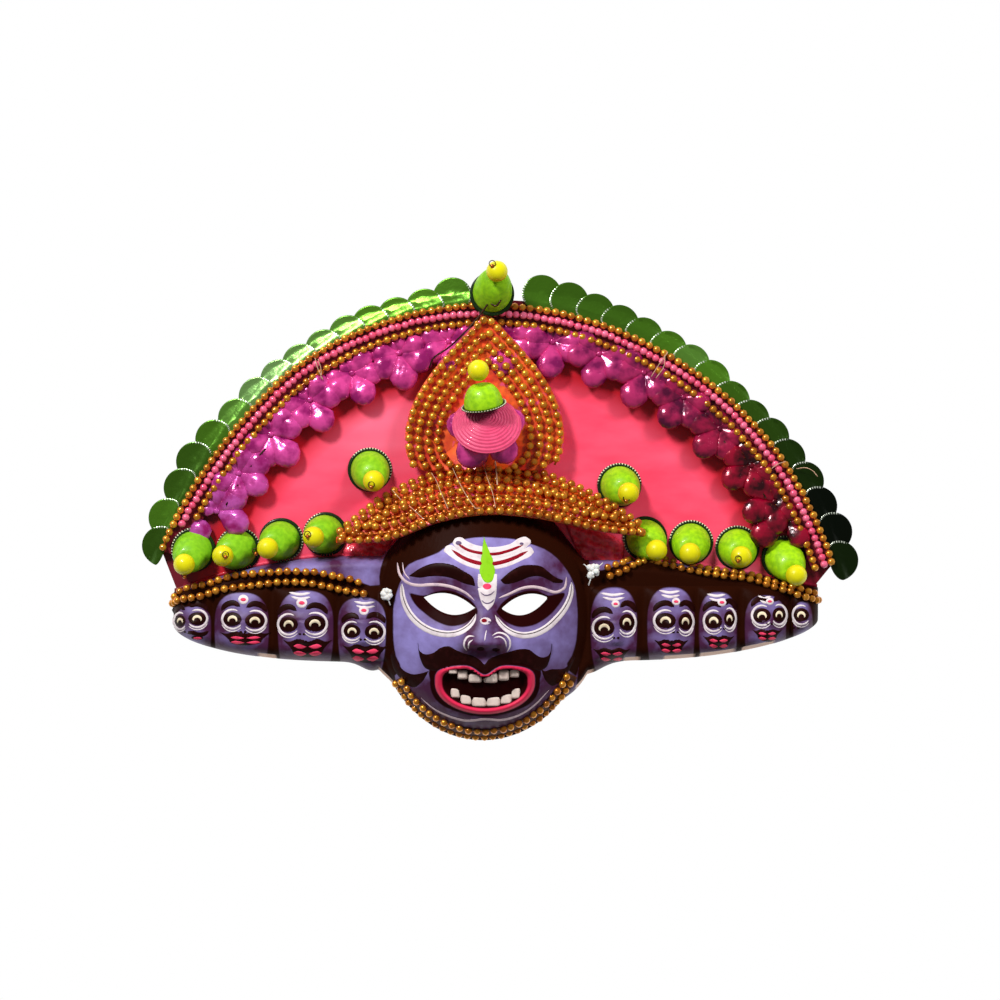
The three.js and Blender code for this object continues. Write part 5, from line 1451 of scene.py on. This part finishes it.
# The brim's edges from above, then how far its bead rows lie from each, the sunk ones between.
BRIM_UPPER = [(-138, -31), (-92.5, 4.2), (-14, 28.6), (84, 0), (122, -25)]
BRIM_LOWER = [(-138, -35), (-92.5, -32.5), (-52, -17.5), (-14, -10.9), (32, -14), (84, -25), (122, -29)]
BRIM_LOWER_ROWS, BRIM_UPPER_ROWS = [0.6, 13.2, 26], [0.6, 7, 19]
SUNK_LOWER_ROWS, SUNK_UPPER_ROWS = [7, 19.6, 31], [13]
BRIM_PITCH, BRIM_BEAD, SUNK_BEAD = 8.2, 7.1, 6.0
BEAD_RISE, SUNK_RISE = BRIM_CARD + 2.2, BRIM_CARD + 0.4
upper_edge, lower_edge = line_through(BRIM_UPPER, 200), line_through(BRIM_LOWER, 200)


def brim_point(x, v):
    """The brim's front at x, from its lower edge at v = 0, which stands out, to its upper at 1. Both
    edges meet in height towards the ends, by the square of the way, and half a sine swells between."""
    reach = np.where(x < BRIM_MIDDLE, BRIM_MIDDLE - BRIM_LEFT, BRIM_RIGHT - BRIM_MIDDLE)
    t = np.abs(x - BRIM_MIDDLE) / reach
    upper, lower = np.interp(x, *upper_edge.T), np.interp(x, *lower_edge.T)
    low = BRIM_FRONT - (BRIM_FRONT - BRIM_RISE) * t**2
    high = BRIM_FOOT + (BRIM_RISE - 1 - BRIM_FOOT) * t**2
    height = low + (high - low) * v + BRIM_SWELL * np.sin(np.pi * v) * (1 - t**2)
    return np.stack([x, lower + (upper - lower) * v, height], -1)


def brim_normal(x, v):
    """The way out of the brim's front, from small steps along and up it."""
    across = brim_point(x + 0.5, v) - brim_point(x - 0.5, v)
    up = brim_point(x, np.minimum(v + 0.02, 1)) - brim_point(x, np.maximum(v - 0.02, 0))
    normal = np.cross(across, up)
    return normal / np.linalg.norm(normal, axis=-1, keepdims=True)


along, up = np.linspace(BRIM_LEFT + 0.5, BRIM_RIGHT - 0.5, 140), np.linspace(0, 1, 16)
x, v = np.meshgrid(along, up, indexing="ij")
normal = brim_normal(x, v)
front = brim_point(x, v)
make_piece("brim_card", [slab(front, front - BRIM_CARD * normal)], card)
x = np.linspace(BRIM_LEFT + 2, BRIM_RIGHT - 2, 260)
depth = np.linalg.norm(brim_point(x, 0 * x) - brim_point(x, 1 + 0 * x), axis=-1)


ROW_OVERLAP, FEWEST_POINTS = 3.5, 20


def brim_rows(offsets, from_upper, rise):
    """Lines along the brim at offsets in mm from one of its edges, as far as half its width there
    and an overlap reach; too short ones are left out."""
    rows = []
    for offset in offsets:
        fits = offset < depth / 2 + ROW_OVERLAP
        share = np.abs(from_upper - (offset / depth)[fits])
        rows.append(brim_point(x[fits], share) + rise * brim_normal(x[fits], share))
    return [row for row in rows if len(row) > FEWEST_POINTS]


rows = brim_rows(BRIM_LOWER_ROWS, 0, BEAD_RISE) + brim_rows(BRIM_UPPER_ROWS, 1, BEAD_RISE)
sunk_rows = brim_rows(SUNK_LOWER_ROWS, 0, SUNK_RISE) + brim_rows(SUNK_UPPER_ROWS, 1, SUNK_RISE)
parts = beads_along(rows, BRIM_PITCH, BRIM_BEAD, slip=0.2, tone=0.2)
# The sunk rows are tinted darker, as painted shade between the rows.
parts += beads_along(sunk_rows, BRIM_PITCH, SUNK_BEAD, slip=0.4, thread=1.2, tone=-0.2)
make_piece("brim_bead_rows", parts, gold, ["crown_brim"])


# Crest flower: puffed petals, a ribbed pink dome on them, a green cup lying on the dome with its
# rim in front, whose crimps carry painted highlights in silver, and a yellow ball at its tip.
def leaned(part, degrees, swing, place):
    """Tips a part towards the crown about X, swings it about Z, and moves it to its place."""
    turn = turn_about(2, np.radians(swing)) @ turn_about(0, np.radians(-degrees))
    return {**part, "points": part["points"] @ turn.T + np.asarray(place, float)}


# The five petals: half length, width and height, how far out they stand, the first one's turn in
# degrees and their sizes; then how the whole ring lies.
PETAL_FORM, RING_X, RING_Y, FIRST_TURN = (15.5, 12.5, 5), 18.5, 17, -122
RING_SIZES, RING_TINT = np.array([1.2, 1.05, 1, 1, 1.05]), 0.5
RING_LEAN, RING_PLACE = 6, (-11, 58.5, 39)
count = len(RING_SIZES)
petal = ball_shape(14, 9)
neck = 0.6 + 0.4 * smooth_step(petal["points"][:, 0], -1, 0.4)
petal["points"] = petal["points"] * PETAL_FORM
petal["points"][:, 1] *= neck
turns = np.radians(np.arange(count) * 360 / count + FIRST_TURN)
places = np.stack([RING_X * np.cos(turns), RING_Y * np.sin(turns), chance.random(count) * 2], -1)
petals = repeated(petal, places, RING_SIZES, turn_about(2, turns), tint=np.full(count, RING_TINT))
parts = [leaned(petals, RING_LEAN, 0, RING_PLACE)]
make_piece("crest_puffed_petals", parts, petal_foil, ["crest_petals"])

# The dome is moulded in rings, with the dye a little uneven.
ribbed_pink, ribbed_shader = new_material("ribbed_pink_plastic", Roughness=0.42, Coat_Weight=0.2)
place = add(ribbed_pink, "TexCoord", {}, "Object")
worn = add(ribbed_pink, "TexNoise", {"Vector": place, "Scale": 180.0, "Detail": 3.0})
plug(ribbed_shader, {"Base Color": painted(ribbed_pink, "#d23462", [(worn, "#ee5c84")])})
DOME_RADIUS, DOME_RISE, DOME_FOOT, DOME_RINGS, DOME_RING_RISE = 29, 11.5, 1.5, 12, 0.4
DOME_UNDERSIDE = [(28.6, 0.3), (20, 0)]
DOME_LEAN, DOME_PLACE = 35, (-11, 62.5, 47)
slope = np.linspace(0.04, 1, 60)
wave = DOME_RING_RISE * np.sin(slope * 2 * np.pi * DOME_RINGS) * smooth_step(slope, 0, 0.1)
profile = np.stack([DOME_RADIUS * slope, DOME_FOOT + DOME_RISE * (1 - slope**2.2) + wave], -1)
profile = np.concatenate([profile, DOME_UNDERSIDE])
dome = leaned(closed_rings(turned_rings(profile, 48)), DOME_LEAN, 0, DOME_PLACE)
make_piece("crest_ribbed_dome", [dome], ribbed_pink, ["crest_cone"])

CREST_CUP_PLACE, CREST_CUP_LEAN, CREST_CUP_SWING = (-13.2, 78.4, 57.5), 72, 9.5
# The crest cup's crimps carry painted highlights all round.
CREST_CRIMP_SPAN, CREST_TINT, ALL_ROUND = 18.9, 0.8, (90, -1.3)
parts = [ribbed_cup(CREST_TINT), crimped_disc(CREST_CRIMP_SPAN, *ALL_ROUND)]
parts = [leaned(part, CREST_CUP_LEAN, CREST_CUP_SWING, CREST_CUP_PLACE) for part in parts]
make_piece("crest_ribbed_cup", parts, green, ["crest_cup"])
low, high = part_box("crest_ball")
middle = np.array([(a + b) / 2 / MM for a, b in zip(low, high)])
ball = repeated(ball_shape(20, 13), middle[None], BALL_RADIUS)
make_piece("crest_round_ball", [ball], yellow, ["crest_ball"])


# Rows over the small heads and under the chin: the same gold beads in double strings along the
# edge of the shell, resting on its skin. The strings' routes are read off the photo.
LEFT_ROWS = [
    [(173.5, 597.5), (179, 591.5), (193.5, 587), (204.7, 584.7), (222.7, 578.7), (253, 573.5),
     (288, 571.5), (324.6, 573.5), (350.9, 579.5), (367, 585)],
    [(170.5, 605.5), (177.5, 600.7), (196.5, 596.7), (224.2, 589.2), (252.7, 585.5), (282.7, 581.7),
     (300.6, 582.2), (328.4, 586.7), (345.6, 590.7), (372, 594.5)],
]
RIGHT_ROWS = [
    [(603.5, 567.7), (612.7, 565.5), (621, 563), (630.7, 559.8), (640, 557.7), (650, 557),
     (664, 559.5), (690, 565), (716, 569.8), (733, 572), (751, 574.8), (768, 580.2), (791, 586.5),
     (805.3, 590), (818, 594)],
    [(606, 576), (614.2, 574.5), (630.7, 567), (637.5, 563.2), (650, 561.7), (663.7, 564.3),
     (690, 570), (716.2, 574.5), (733.4, 576.7), (751.4, 579.4), (767.9, 585), (791, 591.7),
     (805.3, 597), (820.5, 601)],
]
STRING_RISE = 3.2
for side, rows, pitch, size in (("left", LEFT_ROWS, 7.5, 6.9), ("right", RIGHT_ROWS, 7.3, 6.5)):
    lines = [on_skin(line_through(row, 120), STRING_RISE) for row in rows]
    parts = beads_along(lines, pitch, size)
    make_piece(f"{side}_wing_bead_rows", parts, gold, [f"wing_beads_{side}"])

# Under the chin: how far in from the edge each row lies, and its ends round the face in degrees.
CHIN_ROW_INSETS, CHIN_FROM, CHIN_TO = [0.4, 6.2], -148, -29
CHIN_PITCH, CHIN_BEAD, CHIN_LOWEST = 7.2, 6.3, 5
TAPE_OUT, TAPE_IN, TAPE_RISE, TAPE_THICKNESS = -2.6, 8.5, 0.6, 0.8


def chin_line(inset, rise):
    """A line a rise above the skin along the chin, at an inset from its edge, with a least height."""
    turn = np.radians(np.linspace(CHIN_FROM, CHIN_TO, 90))
    x = FACE_X + (FACE_HALF_WIDTH - inset) * np.cos(turn)
    y = FACE_Y + (FACE_DOWN - inset) * np.sin(turn)
    height = shell_height(x, np.maximum(y, shell_bottom(x))) + rise
    return np.stack([x, y, np.maximum(height, CHIN_LOWEST)], -1)


strip = np.stack([chin_line(inset, TAPE_RISE) for inset in np.linspace(TAPE_OUT, TAPE_IN, 9)], 1)
# Woven cotton, dyed brown, dull and rough.
cloth = new_material("brown_cotton_tape", Base_Color=linear("#4a2208"), Roughness=0.8)[0]
make_piece("chin_tape", [slab(strip, strip - (0, 0, TAPE_THICKNESS))], cloth)
chin_lines = [chin_line(inset, STRING_RISE) for inset in CHIN_ROW_INSETS]
parts = beads_along(chin_lines, CHIN_PITCH, CHIN_BEAD, slip=0.3)
make_piece("chin_bead_rows", parts, gold, ["chin_beads"])


# Cotton tufts: a knot of loose white yarn at each temple, where the bead rows are tied. Each is a
# heap of small curls with a few ends of yarn that hang out of it.
# Bleached cotton, spun loosely, so that a little light passes into it.
fluffy = {"Roughness": 0.9, "Subsurface_Weight": 0.2}
cotton = new_material("white_cotton_yarn", Base_Color=linear("#f2ece4"), **fluffy)[0]
CURLS, CURL_SIZES, CURL_SQUASH, CURL_SPREAD_UP = 26, (1.8, 2.9), 0.8, 1.2
YARN_BOW, YARN_RADIUS = 1.2, 0.45
# How far the curls spread across and down, and how far each loose end reaches.
TUFTS = {
    "ear_tuft_left": (3.2, 3.4, [(3, -9)]),
    "ear_tuft_right": (3.4, 4.4, [(-8, 6), (8, 7), (-4, -12)]),
}


def yarn(start, end):
    """A loose end of yarn from one place to another, bowed upwards by 4u(1-u)."""
    u = np.linspace(0, 1, 12)[:, None]
    return tube(start + (end - start) * u + np.array([0, 0, 4 * YARN_BOW]) * u * (1 - u), YARN_RADIUS, 5)


for node, (across, down, ends) in TUFTS.items():
    low, high = (np.array(corner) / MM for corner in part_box(node))
    middle = (low + high) / 2
    scatter = chance.uniform(-1, 1, (CURLS, 3)) * (across, down, CURL_SPREAD_UP)
    sizes = chance.uniform(*CURL_SIZES, CURLS)
    parts = [repeated(ball_shape(8, 5, CURL_SQUASH), middle + scatter, sizes)]
    parts += [yarn(middle, middle + (dx, dy, -1)) for dx, dy in ends]
    make_piece(f"{node}_yarn", parts, cotton, [node])


# Loose threads and wires: pale sewing thread over the brim and the bead strings, brown binding wire
# from the top cup down beside the crest, and a wired end bead on most of the yellow balls.
BRIM_MEAN_HEIGHT = 42.0


def over_brim(points, rise):
    """Places off the photo laid on the brim's curved front, a rise in mm above it."""
    x, y = (from_pixels(points) * closeness(BRIM_MEAN_HEIGHT)).T
    low, high = np.interp(x, *lower_edge.T), np.interp(x, *upper_edge.T)
    v = np.clip((y - low) / (high - low), 0, 1)
    return brim_point(x, v) + rise * brim_normal(x, v)


def at_height(points, height):
    """Places off the photo at a height in mm, true for the lens."""
    height = np.broadcast_to(np.asarray(height, float), len(points))
    return at_level(from_pixels(points) * closeness(height)[:, None], height)


# Threads read off the photo: those over the brim with their radius, the others with their height.
BEADS_TOP, THREAD_RADIUS = 8.6, 0.35
BRIM_THREADS = [
    ([(452.5, 472.5), (460.1, 488.8), (470.9, 507.2), (480.7, 520.2)], 0.3),
    ([(482.9, 468.2), (486.1, 481.2), (493.7, 505), (495.3, 515.9)], 0.3),
    ([(433, 480.1), (437.3, 486.6), (442.7, 498.5), (450.3, 514.8)], 0.3),
    ([(394, 496.4), (398.8, 501.2), (403.7, 506.1)], 0.3),
    ([(412.4, 511.6), (420, 518), (427.6, 524.6)], 0.3),
    ([(494.8, 468.2), (496, 480), (497, 492)], 0.6),
]
STRING_THREADS = [
    ([(315, 358), (317, 366), (323, 380)], 17.2), ([(318, 359), (321, 369), (321, 379)], 17.4),
    ([(668, 352), (660, 363), (651, 377)], 17.2), ([(665, 355), (664, 366), (656, 378)], 17.5),
    ([(771.5, 468.7), (778, 464), (785.8, 461.5)], 17.2),
    ([(796.2, 468.7), (806.5, 467.9), (813, 471), (817.7, 476.7)], 15.5),
]
parts = [tube(over_brim(line_through(line, 24), BEADS_TOP), radius, 5) for line, radius in BRIM_THREADS]
for line, height in STRING_THREADS:
    parts.append(tube(at_height(line_through(line, 12), height), THREAD_RADIUS, 5))
# Twisted cotton thread, undyed and a little waxed.
thread = new_material("pale_brown_sewing_thread", Base_Color=linear("#c8a284"), Roughness=0.7)[0]
make_piece("loose_sewing_threads", parts, thread)

# Thin iron wire, brown from lacquer and wear.
wire = new_material("brown_binding_wire", Base_Color=linear("#3a1c0c"), Metallic=0.5, Roughness=0.4)[0]
TOP_WIRE = [
    (501, 300), (496, 306), (489, 303), (485, 308), (480, 315), (464, 333), (448, 348), (433, 359),
    (429, 368),
]
TOP_WIRE_HEIGHTS = [34, 33, 31, 30, 29, 27.5, 22, 18, 16.5]
TOP_WIRE_RADIUS, STITCH_RADIUS, LOOP_RADIUS = 0.75, 0.7, 0.4
parts = [tube(line_through(at_height(TOP_WIRE, TOP_WIRE_HEIGHTS), 60), TOP_WIRE_RADIUS)]
# Short lengths of wire across the petals, between most pairs of flowers, by their angle.
STITCHES, STITCH_ARCH, STITCH_HEIGHT = 7, 260.0, 15.0
for turn in (104, 112.9, 122.3, 131.5, 141, 149.5, 75.6, 66.8, 58.2, 49.6, 40.8, 32):
    angles = np.radians(turn + np.linspace(-2.2, 2.2, STITCHES))
    bow = ARCH[:, None] + STITCH_ARCH * np.array([np.cos(angles), np.sin(angles)])
    path = np.stack([*bow, np.full(STITCHES, STITCH_HEIGHT)], -1)
    parts.append(tube(path, STITCH_RADIUS, 5))
# On most balls an end bead in a loop of wire, by its place on the ball.
END_BEAD_RISE, LOOP_SPAN, LOOP_SHIFT = 0.6, 2.6, (0, 2.0, 0.8)
END_BEADS = [
    ("left_cup_1", 0.4, -10.4), ("left_cup_2", 3, -1), ("left_cup_3", -9.8, -4.6),
    ("left_cup_4", -4.4, 0.4), ("field_cup_1", -1.6, -5.2), ("field_cup_2", -2, -6.8),
    ("right_cup_3", -3.2, -3.6), ("top_cup", -3.9, 3.9),
]
end_places = []
for node, dx, dy in END_BEADS:
    base, ball_x, ball_y = CUP_FLOWERS[node][2:]
    lift = np.sqrt(max(BALL_RADIUS**2 - dx**2 - dy**2, 0)) + END_BEAD_RISE
    place = np.array([ball_x + dx, ball_y + dy, base + BALL_RISE + lift])
    end_places.append(place)
    turn = np.linspace(0, 2 * np.pi, 13)
    loop = LOOP_SHIFT + LOOP_SPAN * np.stack([np.cos(turn), np.sin(turn), 0 * turn], -1)
    parts.append(tube(place + loop, LOOP_RADIUS, 5))
make_piece("binding_wires", parts, wire)
END_BEAD_RADIUS, END_BEAD_TINT = 1.9, 0.1
each = np.ones(len(end_places))
ends = repeated(BEAD, np.array(end_places), END_BEAD_RADIUS * each, tint=END_BEAD_TINT * each)
make_piece("wired_end_beads", [ends], gold)


# Joint paper: two crumpled patches of glossy red paper and a long pink strip, glued over the gap
# between the fan and the shell.
# Coated paper, crumpled by hand: its folds are paler as painted highlights where they would catch the
# light.
red_paper, paper_shader = new_material("glossy_red_paper", Roughness=0.28, Coat_Weight=0.5)
place = add(red_paper, "TexCoord", {}, "Object")
crumple = add(red_paper, "TexNoise", {"Vector": place, "Scale": 110.0, "Detail": 5.0})
fold_highlights = add(red_paper, "MapRange", {"Value": crumple, "From Min": 0.38, "From Max": 0.6})
bump = add(red_paper, "Bump", {"Height": crumple, "Strength": 0.9, "Distance": 0.004})
plug(paper_shader, {"Base Color": painted(red_paper, "#dc1426", [(fold_highlights, "#ff4660")]), "Normal": bump})
PAPER_FOOT, PAPER_BELLY, PAPER_WRINKLE, PAPER_THICKNESS = 4.7, 2.6, 0.8, 0.3
# Upper and lower edge of each patch, read off the photo.
PATCHES = [
    ([(341, 552), (352, 538), (374, 533), (392, 530)],
     [(345, 562), (358, 562), (374, 562), (390, 563)]),
    ([(564, 521), (588, 524), (608, 533), (626, 543)],
     [(580, 560), (592, 568), (608, 566), (624, 560)]),
]
patches = []
for upper, lower in PATCHES:
    a, b = line_through(upper, 30), line_through(lower, 30)
    v = np.linspace(0, 1, 20)[None, :, None]
    flat = from_pixels(a[:, None] * (1 - v) + b[:, None] * v)
    u = np.linspace(0, 1, 30)[:, None]
    inside = (16 * u * (1 - u) * v[..., 0] * (1 - v[..., 0])) ** 0.4
    x, y = flat[..., 0], flat[..., 1]
    wrinkle = np.sin(x * 0.55 + 1.4 * np.sin(y * 0.4)) + np.sin(y * 0.7 + x * 0.2)
    height = PAPER_FOOT + inside * (PAPER_BELLY + PAPER_WRINKLE * wrinkle)
    top = at_level(flat, height)
    patches.append(slab(top, top - (0, 0, PAPER_THICKNESS)))
make_piece("joint_patches", patches, red_paper)
# The strip's lines, by their distance past the shell's upper edge; it falls off to both sides.
STRIP_HEIGHT, STRIP_FALL, STRIP_MIDDLE, STRIP_LINES = 5.0, 0.25, 1.2, (-0.4, 1.2, 2.8)
along = np.linspace(LEFT_END + 1, RIGHT_END - 1, 270)
lines = []
for off in STRIP_LINES:
    height = STRIP_HEIGHT - STRIP_FALL * abs(off - STRIP_MIDDLE)
    lines.append(np.stack([along, shell_top(along) + off, height + 0 * along], -1))
strip = np.stack(lines, 1)
make_piece("joint_paper_strip", [slab(strip, strip - (0, 0, PAPER_THICKNESS))], fan_paint)


# Outer sizes with and without the dressing.
sizes = {"cad": [list(map(float, corner)) for corner in cad_box]}
sizes["visual"] = [list(map(float, corner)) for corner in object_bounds()]
